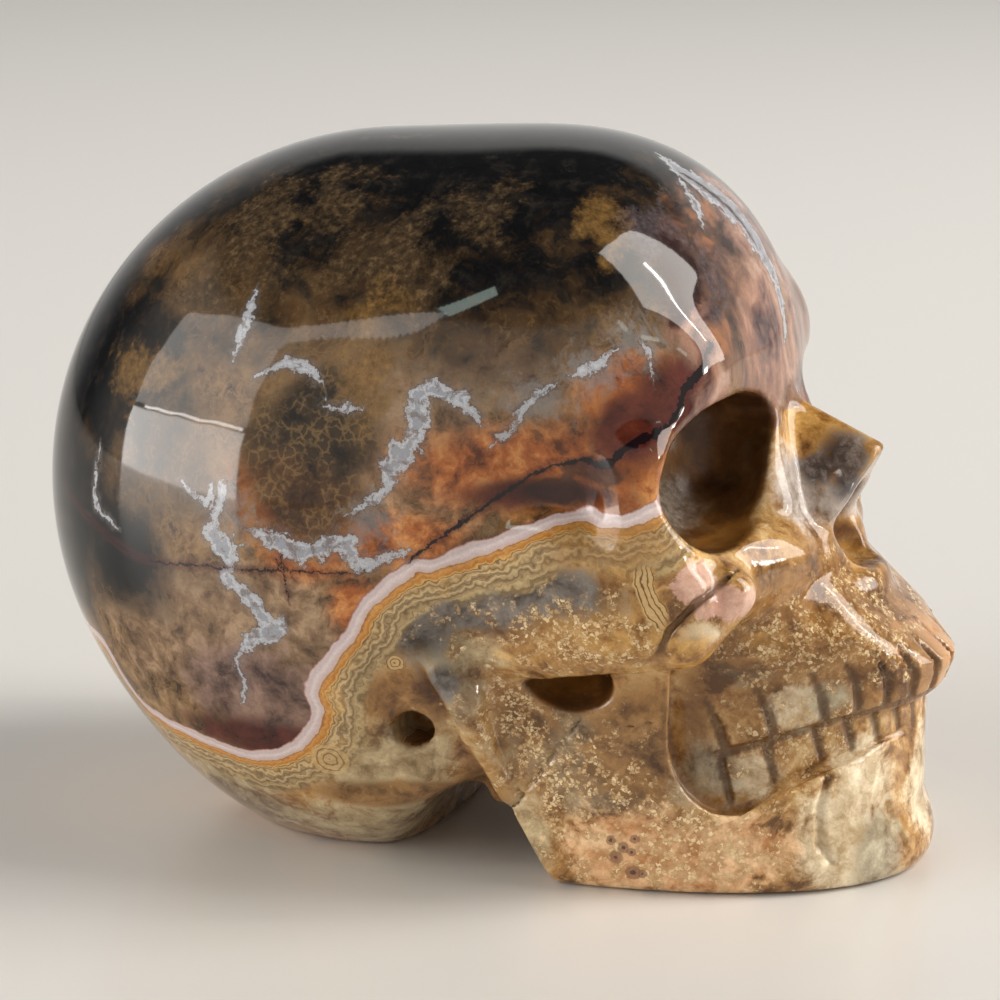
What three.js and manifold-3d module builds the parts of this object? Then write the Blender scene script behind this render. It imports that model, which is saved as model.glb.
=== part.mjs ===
// A human skull carved from one piece of banded agate, about 113 mm long.
// Millimetres. +X is the way the face looks, +Y the skull's own left, +Z up, and the table is at z = 0.
import * as THREE from 'three';
import { mergeVertices } from 'three/addons/utils/BufferGeometryUtils.js';
import Module from 'manifold-3d';

// Driving dimensions
const halfWidth = 38;
const toothGroove = 1.2;
const earDrill = 5;
const midLength = 2.2;

// How finely the surface is drawn, and how many triangles one half of it keeps
const faceStep = 1.7;
const craniumStep = 3.4;
const halfTriangles = 2900;

// Forms. Each is given for one side, as [front-back, out from the middle plane, up].
const CRANIUM = {
  back: { at: [-9.4, 0, 40.9], radii: [44.8, halfWidth, 43.4] },
  front: { at: [15.6, 0, 58.8], radii: [20.5, 31.5, 23.8] },
  under: { at: [-14.4, 0, 26], radii: [21, 28, 26.7] },
  temple: { at: [19, 46.5, 46], radii: [11, 16.5, 13] },
};
const BASE = {
  swelling: { at: [-5.5, 16.5, 15.5], radii: [14.5, 12, 11.8] },
  foot: { at: [-15, 0, 14.4], radii: [19, 17.5, 13.6] },
  gap: { at: [9.5, 0, -0.5], radii: [11.5, 60, 12.2] },
};
const BROW = { inner: [29.2, 5, 61], top: [29.8, 17, 60.3], outer: [28, 26.5, 51.5], radii: [5, 4.8, 3.6] };
const FACE = {
  core: { at: [21, 0, 44], radii: [17, 22, 18] },
  besideNose: { at: [28, 6, 45], radii: [10.5, 7, 11] },
  palate: { at: [19, 0, 27], half: [12, 17, 12], edge: 4 },
  behindCheek: { at: [25, 20, 33], radii: [8, 7, 9] },
};
const CHEEK = {
  outerRim: [28, 26.8, 51.5],
  corner: [29.5, 27.8, 43],
  lowerRim: [30, 27, 41.5],
  innerRim: [40.5, 12, 38.5],
  root: [39.5, 14, 37.5],
  tip: [33, 26, 32.8],
  tear: [36, 7.5, 52],
  tearFoot: [39, 9, 41],
  bone: { at: [29, 27.6, 37.5], radii: [7.5, 4.6, 9.5], yaw: -22 },
};
const ARCH = { at: [13, 27.5, 36.5], radii: [25, 6.4, 10.5], yaw: 3, lip: { rear: 31, middle: 26.4, front: 28.8 } };
const NOSE = {
  bridge: [35, 0, 54],
  tip: [47.6, 0, 48.2],
  side: [36, 4.5, 52.4],
  sideTip: [44.6, 3.6, 45.2],
  rimTop: [44.2, 4.4, 45],
  rimMiddle: [43.2, 7, 38],
  rimFoot: [45.2, 5, 32],
  sill: { at: [46.2, 0, 33.8], radii: [4.6, 6.5, 3] },
  lowerHollow: { at: [47, 1.6, 37.6], radii: [7, 3.2, 4] },
  upperHollow: { at: [47, 0.6, 41.6], radii: [6, 2.4, 4] },
};
const SOCKET = {
  lower: { at: [35.5, 19, 47.4], radii: [13, 9.2, 8.2], yaw: 22 },
  upper: { at: [37, 14.2, 53], radii: [12, 5.4, 5.2], yaw: 12 },
};
const TEETH = {
  centre: 24,
  long: 34.6,
  wide: 19.4,
  cuts: [0, 11, 20.5, 29.5, 38, 46.5, 58, 68],
  leanUp: 4,
  leanDown: -2.5,
  crown: 3.4,
  crownShare: 0.6,
  step: 0.9,
};
const JAW = {
  centre: 14,
  long: 42.6,
  wide: 23.8,
  angle: [12.2, 10.4],
  hollow: { rear: 6, centre: 10, long: 36, wide: 16, top: 9 },
  notch: { at: [20.5, 32, 25.5], radii: [6, 9.5, 4.2] },
};
const EAR = { at: [3.7, 19.6], valleyTop: [2.5, 37, 27], valleyFoot: [10.5, 31, 10] };
const CUT_LINES = [
  { width: 1.2, points: [[38.4, 22.5, 38.6], [37.6, 28.5, 38.4], [35.8, 31.2, 36.9], [33.5, 31.9, 34.1], [32.4, 31.1, 31.2]] },
  { width: 1.6, points: [[47.7, 15.4, 14.2], [47.1, 16.2, 10.4], [47.3, 16.3, 6.1], [48.5, 15.5, 4]] },
  { width: 1.2, points: [[52.9, 9, 12.3], [53.3, 8.3, 8.9], [55.5, 6.5, 2.7]] },
  { width: 1, points: [[13.4, 25.2, 9.4], [18.8, 26.5, 16.6], [23.5, 24.8, 23.8]] },
];

// Ways to join and cut forms, each form being a signed distance that is negative inside
const degrees = Math.PI / 180;
const clamp = (v, low, high) => Math.min(Math.max(v, low), high);

function line(t, t0, v0, t1, v1) {
  return v0 + (v1 - v0) * clamp((t - t0) / (t1 - t0), 0, 1);
}

function ramp(t, t0, v0, t1, v1) {
  const k = clamp((t - t0) / (t1 - t0), 0, 1);
  return v0 + (v1 - v0) * k * k * (3 - 2 * k);
}

function blend(a, b, soft) {
  const h = Math.max(soft - Math.abs(a - b), 0) / soft;
  return Math.min(a, b) - h * h * soft * 0.25;
}

const carve = (stone, tool, soft) => -blend(-stone, tool, soft);
const keep = (a, b, soft) => -blend(-a, -b, soft);

function egg(p, { at, radii, yaw = 0 }) {
  const c = Math.cos(yaw * degrees);
  const n = Math.sin(yaw * degrees);
  const dx = p[0] - at[0];
  const dy = p[1] - at[1];
  const x = (dx * c + dy * n) / radii[0];
  const y = (dy * c - dx * n) / radii[1];
  const z = (p[2] - at[2]) / radii[2];
  const k0 = Math.hypot(x, y, z);
  const k1 = Math.hypot(x / radii[0], y / radii[1], z / radii[2]);
  return (k0 * (k0 - 1)) / Math.max(k1, 1e-6);
}

function rod(p, a, b, ra, rb) {
  const along = b.map((v, i) => v - a[i]);
  const from = p.map((v, i) => v - a[i]);
  const length2 = along[0] ** 2 + along[1] ** 2 + along[2] ** 2;
  const t = clamp((from[0] * along[0] + from[1] * along[1] + from[2] * along[2]) / length2, 0, 1);
  return Math.hypot(...from.map((v, i) => v - t * along[i])) - (ra + (rb - ra) * t);
}

function block(p, { at, half, edge }) {
  const q = p.map((v, i) => Math.abs(v - at[i]) - half[i] + edge);
  const out = Math.hypot(...q.map((v) => Math.max(v, 0)));
  return out + Math.min(Math.max(...q), 0) - edge;
}

// Distance in plan to an upright wall along an oval, which runs straight back behind the oval's centre
function ovalWall(x, s, centre, long, wide, power) {
  const u = Math.max(x - centre, 1e-3) / long;
  const v = Math.max(s, 1e-3) / wide;
  const f = (u ** power + v ** power) ** (1 / power);
  const slope = Math.hypot(u ** (power - 1) / long, v ** (power - 1) / wide) * f ** (1 - power);
  return (f - 1) / Math.max(slope, 1e-6);
}

// Cranium, with the swelling under each ear and the foot at the back that the skull stands on
function cranium(p) {
  const d = blend(egg(p, CRANIUM.back), egg(p, CRANIUM.front), 16);
  return blend(d, egg(p, CRANIUM.under), 12);
}

function brow(p) {
  const { inner, top, outer, radii } = BROW;
  return blend(rod(p, inner, top, radii[0], radii[1]), rod(p, top, outer, radii[1], radii[2]), 3);
}

function base(p) {
  return blend(egg(p, BASE.swelling), egg(p, BASE.foot), 6);
}

function face(p) {
  const d = blend(blend(egg(p, FACE.core), egg(p, FACE.besideNose), 4), block(p, FACE.palate), 5);
  return blend(d, egg(p, FACE.behindCheek), 3);
}

// Cheekbone, the rim of the eye socket down its outer side, and the shelf that runs back over the jaw
function cheek(p) {
  let d = rod(p, CHEEK.outerRim, CHEEK.corner, 3.6, 4);
  d = blend(d, rod(p, CHEEK.lowerRim, CHEEK.innerRim, 4.4, 3.4), 3);
  d = blend(d, rod(p, CHEEK.root, CHEEK.tip, 3.4, 3.2), 4);
  d = blend(d, rod(p, CHEEK.tear, CHEEK.tearFoot, 2.6, 3.8), 3);
  return blend(d, egg(p, CHEEK.bone), 3);
}

function arch(p) {
  const { rear, middle, front } = ARCH.lip;
  const lip = line(p[0], 2, rear, 14, middle) + line(p[0], 14, 0, 30, front - middle);
  return keep(egg(p, ARCH), lip - p[2], 1);
}

function nose(p) {
  let d = rod(p, NOSE.bridge, NOSE.tip, 2.4, 2.3);
  d = blend(d, rod(p, NOSE.side, NOSE.sideTip, 3, 2.4), 3);
  d = blend(d, rod(p, NOSE.rimTop, NOSE.rimMiddle, 2.4, 2.2), 2);
  d = blend(d, rod(p, NOSE.rimMiddle, NOSE.rimFoot, 2.2, 3), 2);
  return blend(d, egg(p, NOSE.sill), 2);
}

// Teeth: three lines along the tooth wall, and the wall itself, which leans in above the gums and below the bite
const gumHeight = (x) => line(x, 34.5, 21.6, 52, 27.4) + line(x, 52, 0, 56, 0.4);
const biteHeight = (x) => line(x, 34, 15.8, 50, 20.8) + line(x, 50, 0, 58, 1);
const footHeight = (x) => line(x, 38, 10.7, 48, 15.4) + line(x, 48, 0, 55, 2.2);

function toothReach(x, z) {
  const overBite = z - biteHeight(x);
  const above = line(z, 25.8, 0, 36, 12.4);
  return TEETH.long - above - line(overBite, 3, 0, 0, 1.2) - line(overBite, 0, 0, -1, 2);
}

function upperJaw(p) {
  const [x, s, z] = p;
  const wide = TEETH.wide - ramp(z, 26, 0, 40, 1);
  const d = keep(ovalWall(x, s, TEETH.centre, toothReach(x, z), wide, 2), Math.abs(z - 23) - 16, 3);
  return keep(d, 8 - x, 1);
}

function lowerJaw(p) {
  const [x, s, z] = p;
  const [angleX, angleZ] = JAW.angle;
  const wide = JAW.wide + line(z, 0, 0, 14, 2.2) + line(z, 14, 0, 28, 3.2);
  const long = JAW.long - ramp(z, 3, 0, 10, 1.8) - line(z, 12, 0, 20, 1.4);
  const top = ramp(x, 30.5, 33, 36.5, 10.5) + line(x, 38, 0, 54, 7);
  const wall = ovalWall(x, s, JAW.centre, long, wide, 2.2);
  const d = keep(keep(wall, z - top, 1.6), -0.3 - z, 3);
  const lean = z < angleZ ? 0.44 : 0.5;
  return keep(d, (angleX - x) * 0.88 + (angleZ - z) * lean, 1);
}

function skullField(x, y, z) {
  const p = [x, Math.abs(y), z];
  let d = blend(cranium(p), brow(p), 5);
  d = carve(d, egg(p, CRANIUM.temple), 6);
  d = blend(d, base(p), 6);
  d = blend(d, face(p), 4);
  d = carve(d, egg(p, BASE.gap), 5);
  d = blend(d, cheek(p), 2.5);
  d = carve(d, rod(p, EAR.valleyTop, EAR.valleyFoot, 3.4, 4.5), 3);
  d = blend(d, nose(p), 2);
  d = blend(d, upperJaw(p), 3);
  d = blend(d, lowerJaw(p), 1);
  d = carve(d, egg(p, JAW.notch), 1.2);
  d = blend(d, arch(p), 1.5);
  d = carve(d, blend(egg(p, SOCKET.lower), egg(p, SOCKET.upper), 5), 1.4);
  d = carve(d, blend(egg(p, NOSE.lowerHollow), egg(p, NOSE.upperHollow), 2), 0.8);
  const { rear, centre, long, wide, top } = JAW.hollow;
  const inside = keep(ovalWall(p[0], p[1], centre, long, wide, 2), z - top, 4);
  return carve(d, keep(inside, rear - x, 4), 3);
}

// Grid lines, closer together over the face than over the cranium
function gridLines(from, to, stepAt) {
  const lines = [from];
  while (lines.at(-1) < to) {
    lines.push(lines.at(-1) + stepAt(lines.at(-1)));
  }
  return lines;
}

// One half of the surface: a vertex in each grid cell that the surface crosses, a quad round each crossed edge.
// The first column of cells is centred on the middle plane, so its vertices lie in that plane.
function halfSurface() {
  const gx = gridLines(-58, 60, (x) => (x < 8 ? craniumStep : faceStep));
  const gy = gridLines(-faceStep / 2, halfWidth + 2, () => faceStep);
  const gz = gridLines(-8, 88, (z) => (z > 62 ? craniumStep : faceStep));
  const size = [gx.length, gy.length, gz.length];
  const at = (i, j, k) => (i * size[1] + j) * size[2] + k;
  const field = new Float64Array(size[0] * size[1] * size[2]);
  gx.forEach((x, i) => gy.forEach((y, j) => gz.forEach((z, k) => {
    field[at(i, j, k)] = skullField(x, y, z);
  })));

  const points = [];
  const cellPoint = new Map();
  const grids = [gx, gy, gz];
  const corners = [];
  for (let n = 0; n < 8; n += 1) {
    corners.push([n & 1, (n >> 1) & 1, (n >> 2) & 1]);
  }
  const edges = [];
  corners.forEach((a, m) => corners.forEach((b, n) => {
    if (m < n && Math.abs(a[0] - b[0]) + Math.abs(a[1] - b[1]) + Math.abs(a[2] - b[2]) === 1) {
      edges.push([a, b]);
    }
  }));

  function pointOf(cell) {
    const key = at(...cell);
    if (!cellPoint.has(key)) {
      const sum = [0, 0, 0];
      let hits = 0;
      for (const [a, b] of edges) {
        const ia = cell.map((v, n) => v + a[n]);
        const ib = cell.map((v, n) => v + b[n]);
        const fa = field[at(...ia)];
        const fb = field[at(...ib)];
        if (fa < 0 !== fb < 0) {
          const t = fa / (fa - fb);
          sum.forEach((v, n) => {
            const from = grids[n][ia[n]];
            sum[n] = v + from + (grids[n][ib[n]] - from) * t;
          });
          hits += 1;
        }
      }
      cellPoint.set(key, points.length);
      points.push(settle(sum.map((v) => v / hits), cell[1] === 0));
    }
    return cellPoint.get(key);
  }

  const triangles = [];
  for (let i = 1; i < size[0] - 1; i += 1) {
    for (let j = 0; j < size[1] - 1; j += 1) {
      for (let k = 1; k < size[2] - 1; k += 1) {
        const start = field[at(i, j, k)] < 0;
        for (let axis = 0; axis < 3; axis += 1) {
          const next = [i, j, k];
          next[axis] += 1;
          const end = field[at(...next)] < 0;
          const onSide = axis !== 1 && j === 0;
          if (start !== end && !onSide) {
            const u = (axis + 1) % 3;
            const v = (axis + 2) % 3;
            const ring = [[0, 0], [1, 0], [1, 1], [0, 1]].map(([du, dv]) => {
              const cell = [i, j, k];
              cell[u] -= du;
              cell[v] -= dv;
              return pointOf(cell);
            });
            const [a, b, c, d] = start ? ring : ring.reverse();
            triangles.push([a, b, c], [a, c, d]);
          }
        }
      }
    }
  }
  return { points, triangles };
}

// Moves a vertex onto the surface itself; one in the middle plane stays in it
function settle(point, inMiddle) {
  const p = inMiddle ? [point[0], 0, point[2]] : [...point];
  const reach = 0.02;
  for (let round = 0; round < 4; round += 1) {
    const d = skullField(...p);
    const slope = [0, 1, 2].map((n) => {
      const q = [...p];
      q[n] += reach;
      return (skullField(...q) - d) / reach;
    });
    if (inMiddle) {
      slope[1] = 0;
    }
    const steep = Math.max(slope[0] ** 2 + slope[1] ** 2 + slope[2] ** 2, 0.1);
    const move = clamp(d / steep, -0.8, 0.8);
    slope.forEach((v, n) => {
      p[n] -= v * move;
    });
    if (!inMiddle) {
      p[1] = Math.max(p[1], 0.05);
    }
  }
  return p;
}

const difference = (a, b) => [a[0] - b[0], a[1] - b[1], a[2] - b[2]];
const product = (a, b) => [a[1] * b[2] - a[2] * b[1], a[2] * b[0] - a[0] * b[2], a[0] * b[1] - a[1] * b[0]];
const dot = (a, b) => a[0] * b[0] + a[1] * b[1] + a[2] * b[2];

// Merges the vertices whose loss changes the surface least, until the half has the wanted number of triangles.
// Each vertex carries the sum of its planes' squared distances, as ten numbers of a symmetric 4 x 4 matrix.
function thinned({ points, triangles }, wanted) {
  const faces = triangles.map((t) => [...t]);
  const around = points.map(() => new Set());
  const quadric = points.map(() => new Float64Array(10));
  const stamp = new Uint32Array(points.length);
  const gone = new Uint8Array(points.length);
  const inMiddle = points.map((p) => p[1] === 0);
  const normalOf = (a, b, c) => product(difference(b, a), difference(c, a));

  function addPlane(vertex, n, d, weight) {
    const [a, b, c] = n;
    [a * a, a * b, a * c, a * d, b * b, b * c, b * d, c * c, c * d, d * d].forEach((v, m) => {
      quadric[vertex][m] += v * weight;
    });
  }

  faces.forEach((t, f) => {
    const [a, b, c] = t.map((v) => points[v]);
    const n = normalOf(a, b, c);
    const length = Math.hypot(...n) || 1e-9;
    const unit = n.map((v) => v / length);
    t.forEach((v, m) => {
      around[v].add(f);
      addPlane(v, unit, -dot(unit, a), length / 2 + 0.05);
      const w = t[(m + 1) % 3];
      if (inMiddle[v] && inMiddle[w]) {
        const side = product(unit, difference(points[w], points[v]));
        const span = Math.hypot(...side) || 1e-9;
        const wall = side.map((k) => k / span);
        addPlane(v, wall, -dot(wall, points[v]), span * span);
        addPlane(w, wall, -dot(wall, points[v]), span * span);
      }
    });
  });

  function error(q, p) {
    const [x, y, z] = p;
    return q[0] * x * x + 2 * q[1] * x * y + 2 * q[2] * x * z + 2 * q[3] * x + q[4] * y * y
      + 2 * q[5] * y * z + 2 * q[6] * y + q[7] * z * z + 2 * q[8] * z + q[9];
  }

  function bestPlace(u, v) {
    const q = quadric[u].map((k, m) => k + quadric[v][m]);
    const a = points[u];
    const b = points[v];
    const choices = [0, 0.25, 0.5, 0.75, 1].map((t) => a.map((k, m) => k + (b[m] - k) * t));
    let kept = choices;
    if (inMiddle[u] && !inMiddle[v]) {
      kept = [a];
    } else if (inMiddle[v] && !inMiddle[u]) {
      kept = [b];
    } else {
      const solved = lowest(q);
      const far = solved && Math.hypot(...difference(solved, choices[2])) > Math.hypot(...difference(a, b));
      if (solved && !far && !inMiddle[u]) {
        kept = [...choices, solved];
      }
    }
    let best = { cost: Infinity };
    for (const place of kept) {
      const cost = error(q, place) + 1e-4 * dot(difference(a, b), difference(a, b));
      if (cost < best.cost) {
        best = { cost, place };
      }
    }
    return best;
  }

  function lowest(q) {
    const rows = [[q[0], q[1], q[2]], [q[1], q[4], q[5]], [q[2], q[5], q[7]]];
    const right = [-q[3], -q[6], -q[8]];
    const det = dot(rows[0], product(rows[1], rows[2]));
    const scale = (q[0] + q[4] + q[7]) ** 3;
    if (Math.abs(det) < 1e-4 * scale) {
      return null;
    }
    return [0, 1, 2].map((n) => {
      const swapped = rows.map((row, m) => row.map((v, k) => (k === n ? right[m] : v)));
      return dot(swapped[0], product(swapped[1], swapped[2])) / det;
    });
  }

  const heap = [];
  function push(item) {
    heap.push(item);
    let n = heap.length - 1;
    while (n > 0 && heap[(n - 1) >> 1].cost > heap[n].cost) {
      const up = (n - 1) >> 1;
      [heap[n], heap[up]] = [heap[up], heap[n]];
      n = up;
    }
  }
  function pop() {
    const top = heap[0];
    const last = heap.pop();
    if (heap.length) {
      heap[0] = last;
      let n = 0;
      for (;;) {
        const left = 2 * n + 1;
        let least = n;
        if (left < heap.length && heap[left].cost < heap[least].cost) {
          least = left;
        }
        if (left + 1 < heap.length && heap[left + 1].cost < heap[least].cost) {
          least = left + 1;
        }
        if (least === n) {
          break;
        }
        [heap[n], heap[least]] = [heap[least], heap[n]];
        n = least;
      }
    }
    return top;
  }
  function consider(u, v) {
    push({ ...bestPlace(u, v), u, v, mark: stamp[u] + stamp[v] });
  }

  const neighbours = (v) => new Set([...around[v]].flatMap((f) => faces[f]).filter((w) => w !== v));
  points.forEach((p, v) => neighbours(v).forEach((w) => {
    if (v < w) {
      consider(v, w);
    }
  }));

  let left = faces.length;
  while (left > wanted && heap.length) {
    const { u, v, place, mark } = pop();
    const shared = [...around[u]].filter((f) => around[v].has(f));
    const stale = gone[u] || gone[v] || mark !== stamp[u] + stamp[v];
    if (!stale && shared.length) {
      const nearU = neighbours(u);
      const nearV = neighbours(v);
      const common = [...nearU].filter((w) => nearV.has(w)).length;
      const joinsMiddle = (from, near, far) => inMiddle[from]
        && [...far].some((w) => inMiddle[w] && !near.has(w) && w !== from);
      const bridge = inMiddle[u] && inMiddle[v]
        ? shared.length === 2
        : joinsMiddle(u, nearU, nearV) || joinsMiddle(v, nearV, nearU);
      const turns = [...around[u], ...around[v]].some((f) => {
        if (shared.includes(f)) {
          return false;
        }
        const before = normalOf(...faces[f].map((w) => points[w]));
        const after = normalOf(...faces[f].map((w) => (w === u || w === v ? place : points[w])));
        return dot(before, after) < 0.3 * Math.hypot(...before) * Math.hypot(...after);
      });
      if (common === shared.length && !bridge && !turns) {
        points[u] = place;
        inMiddle[u] = inMiddle[u] || inMiddle[v];
        quadric[u] = quadric[u].map((k, m) => k + quadric[v][m]);
        gone[v] = 1;
        shared.forEach((f) => faces[f].forEach((w) => around[w].delete(f)));
        left -= shared.length;
        for (const f of around[v]) {
          faces[f] = faces[f].map((w) => (w === v ? u : w));
          around[u].add(f);
        }
        around[v].clear();
        stamp[u] += 1;
        neighbours(u).forEach((w) => consider(u, w));
      }
    }
  }
  const live = new Set(around.flatMap((set) => [...set]));
  return { points, triangles: [...live].map((f) => faces[f]) };
}

// Both halves as one closed mesh: the second is the first in the mirror, sharing the vertices of the middle plane
function wholeSurface({ points, triangles }) {
  const positions = [];
  const placed = new Map();
  function vertex(index, side) {
    const [x, y, z] = points[index];
    const key = y === 0 ? `${index}` : `${index} ${side}`;
    if (!placed.has(key)) {
      placed.set(key, positions.length / 3);
      positions.push(x, y * side, z);
    }
    return placed.get(key);
  }
  const index = [];
  for (const [a, b, c] of triangles) {
    index.push(vertex(a, 1), vertex(b, 1), vertex(c, 1));
    index.push(vertex(a, -1), vertex(c, -1), vertex(b, -1));
  }
  return { vertProperties: new Float32Array(positions), triVerts: new Uint32Array(index) };
}

const wasm = await Module();
wasm.setup();
const solidOf = (mesh) => new wasm.Manifold(new wasm.Mesh({ numProp: 3, ...mesh }));

function solidOfGeometry(geometry) {
  const bare = geometry.clone();
  bare.deleteAttribute('normal');
  bare.deleteAttribute('uv');
  const merged = mergeVertices(bare, 1e-4);
  return solidOf({
    vertProperties: new Float32Array(merged.attributes.position.array),
    triVerts: new Uint32Array(merged.index.array),
  });
}

// A straight cut with a round-ended wheel: a bar along the line from a to b, sunk by half into the surface
function bar(a, b, width, sides, mirrored) {
  const from = new THREE.Vector3(a[0], a[1] * mirrored, a[2]);
  const to = new THREE.Vector3(b[0], b[1] * mirrored, b[2]);
  const along = to.clone().sub(from);
  const geometry = new THREE.CylinderGeometry(width / 2, width / 2, along.length() + width * 0.5, sides, 1);
  const turn = new THREE.Quaternion().setFromUnitVectors(new THREE.Vector3(0, 1, 0), along.normalize());
  geometry.applyQuaternion(turn);
  geometry.translate((from.x + to.x) / 2, (from.y + to.y) / 2, (from.z + to.z) / 2);
  return solidOfGeometry(geometry);
}

// A point of the tooth wall at an angle round the arch, at or above the height that heightAt gives
function onTeeth(angle, heightAt, above = 0) {
  const x = TEETH.centre + (TEETH.long - 1.2) * Math.cos(angle * degrees);
  const z = heightAt(x) + above;
  return [
    TEETH.centre + toothReach(x, z) * Math.cos(angle * degrees),
    TEETH.wide * Math.sin(angle * degrees),
    z,
  ];
}

function grooves() {
  const bars = [];
  const sidesOf = (points) => (points.every((p) => Math.abs(p[1]) < 0.01) ? [1] : [1, -1]);
  function cut(points, width) {
    for (const mirrored of sidesOf(points)) {
      for (let n = 1; n < points.length; n += 1) {
        bars.push(bar(points[n - 1], points[n], width, 4, mirrored));
      }
    }
  }
  TEETH.cuts.forEach((angle) => {
    const up = angle ? TEETH.leanUp : 0;
    const down = angle ? TEETH.leanDown : 0;
    const crown = onTeeth(angle + up * TEETH.crownShare, biteHeight, TEETH.crown);
    cut([onTeeth(angle + up, gumHeight), crown, onTeeth(angle, biteHeight)], toothGroove);
    cut([onTeeth(angle, biteHeight, -TEETH.step), onTeeth(angle + down, footHeight)], toothGroove);
  });
  const biteStops = [0, 14, 29.5, 46.5, 58, 70];
  cut(biteStops.map((angle) => onTeeth(angle, biteHeight)), toothGroove);
  CUT_LINES.forEach(({ points, width }) => cut(points, width));
  for (const mirrored of [1, -1]) {
    const [x, z] = EAR.at;
    bars.push(bar([x, halfWidth - 12, z], [x, halfWidth + 2, z], earDrill, 10, mirrored));
  }
  return bars;
}

// The stone: the sculpted form, less its cuts, standing flat on the table
function skullSolid() {
  let stone = solidOf(wholeSurface(thinned(halfSurface(), halfTriangles)));
  for (const tool of grooves()) {
    stone = stone.subtract(tool);
  }
  const room = 200;
  const aboveTable = new THREE.BoxGeometry(room, room, room);
  aboveTable.translate(0, 0, room / 2);
  return stone.intersect(solidOfGeometry(aboveTable));
}

const { vertProperties, triVerts, numProp } = skullSolid().getMesh();
const positions = [];
for (let n = 0; n < vertProperties.length; n += numProp) {
  positions.push(vertProperties[n] - midLength, vertProperties[n + 1], vertProperties[n + 2]);
}
const geometry = new THREE.BufferGeometry();
geometry.setAttribute('position', new THREE.Float32BufferAttribute(positions, 3));
geometry.setIndex([...triVerts]);
geometry.computeVertexNormals();

const agate = new THREE.MeshStandardMaterial({ color: 0x6d5138, roughness: 0.22, metalness: 0 });
const skull = new THREE.Mesh(geometry, agate);
skull.name = 'skull';

const model = new THREE.Group();
model.add(skull);
export default model;
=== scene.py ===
import bpy
import numpy as np
from mathutils import Matrix, Quaternion, Vector
from mathutils.kdtree import KDTree


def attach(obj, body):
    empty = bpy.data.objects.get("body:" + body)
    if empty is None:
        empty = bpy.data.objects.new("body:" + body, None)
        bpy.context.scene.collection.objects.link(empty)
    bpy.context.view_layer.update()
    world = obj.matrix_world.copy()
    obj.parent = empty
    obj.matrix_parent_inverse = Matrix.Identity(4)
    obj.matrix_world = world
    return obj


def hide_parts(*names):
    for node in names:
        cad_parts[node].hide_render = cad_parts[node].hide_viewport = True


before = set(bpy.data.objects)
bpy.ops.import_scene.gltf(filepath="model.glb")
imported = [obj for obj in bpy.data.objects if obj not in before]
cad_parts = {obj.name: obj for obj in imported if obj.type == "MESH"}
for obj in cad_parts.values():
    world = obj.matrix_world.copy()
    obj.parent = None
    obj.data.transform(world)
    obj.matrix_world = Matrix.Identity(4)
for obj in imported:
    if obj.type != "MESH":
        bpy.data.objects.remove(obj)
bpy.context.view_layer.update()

# Cranium
# The ball of the skull, sawn roughly to shape from one block of agate and ground to three swellings that
# run into each other. Every form is a distance in millimetres, negative inside the stone, with s the
# distance out from the middle plane, so that both sides are alike.


def line(t, t0, v0, t1, v1):
    return v0 + (v1 - v0) * np.clip((t - t0) / (t1 - t0), 0, 1)


def ramp(t, t0, v0, t1, v1):
    k = np.clip((t - t0) / (t1 - t0), 0, 1)
    return v0 + (v1 - v0) * k * k * (3 - 2 * k)


def blend(a, b, soft):
    h = np.maximum(soft - np.abs(a - b), 0) / soft
    return np.minimum(a, b) - h * h * soft * 0.25


def carve(stone, tool, soft):
    return -blend(-stone, tool, soft)


def keep(a, b, soft):
    return -blend(-a, -b, soft)


def turned(x, s, z, centre, yaw, pitch=0.0):
    x, s, z = x - centre[0], s - centre[1], z - centre[2]
    c, n = np.cos(np.radians(yaw)), np.sin(np.radians(yaw))
    x, s = x * c + s * n, s * c - x * n
    c, n = np.cos(np.radians(pitch)), np.sin(np.radians(pitch))
    return x * c + z * n, s, z * c - x * n


def egg(x, s, z, centre, radii, yaw=0.0, pitch=0.0):
    x, s, z = turned(x, s, z, centre, yaw, pitch)
    x, s, z = x / radii[0], s / radii[1], z / radii[2]
    near = np.sqrt(x * x + s * s + z * z)
    slope = np.sqrt((x / radii[0]) ** 2 + (s / radii[1]) ** 2 + (z / radii[2]) ** 2)
    return near * (near - 1) / np.maximum(slope, 1e-6)


def rod(x, s, z, a, b, thick_a, thick_b):
    bx, bs, bz = b[0] - a[0], b[1] - a[1], b[2] - a[2]
    x, s, z = x - a[0], s - a[1], z - a[2]
    t = np.clip((x * bx + s * bs + z * bz) / (bx * bx + bs * bs + bz * bz), 0, 1)
    away = np.sqrt((x - t * bx) ** 2 + (s - t * bs) ** 2 + (z - t * bz) ** 2)
    return away - (thick_a + (thick_b - thick_a) * t)


def cranium(x, s, z):
    d = egg(x, s, z, (-9.4, 0, 40.9), (44.8, 38.0, 43.4))
    d = blend(d, egg(x, s, z, (15.6, 0, 58.8), (20.5, 31.5, 23.8)), 16.0)
    return blend(d, egg(x, s, z, (-14.4, 0, 26.0), (21.0, 28.0, 26.7)), 12.0)


def swelling_and_foot(x, s, z):
    d = egg(x, s, z, (-5.5, 16.5, 15.5), (14.5, 12.0, 11.8))
    return blend(d, egg(x, s, z, (-15.0, 0, 14.4), (19.0, 17.5, 13.6)), 6.0)


# Brow, face and cheekbones
# The ridge over the eyes, the middle of the face behind the nose, and the cheekbones that stand out from it
# and frame the eye sockets. All of it is the same stone, left standing as the hollows round it were ground.


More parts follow.
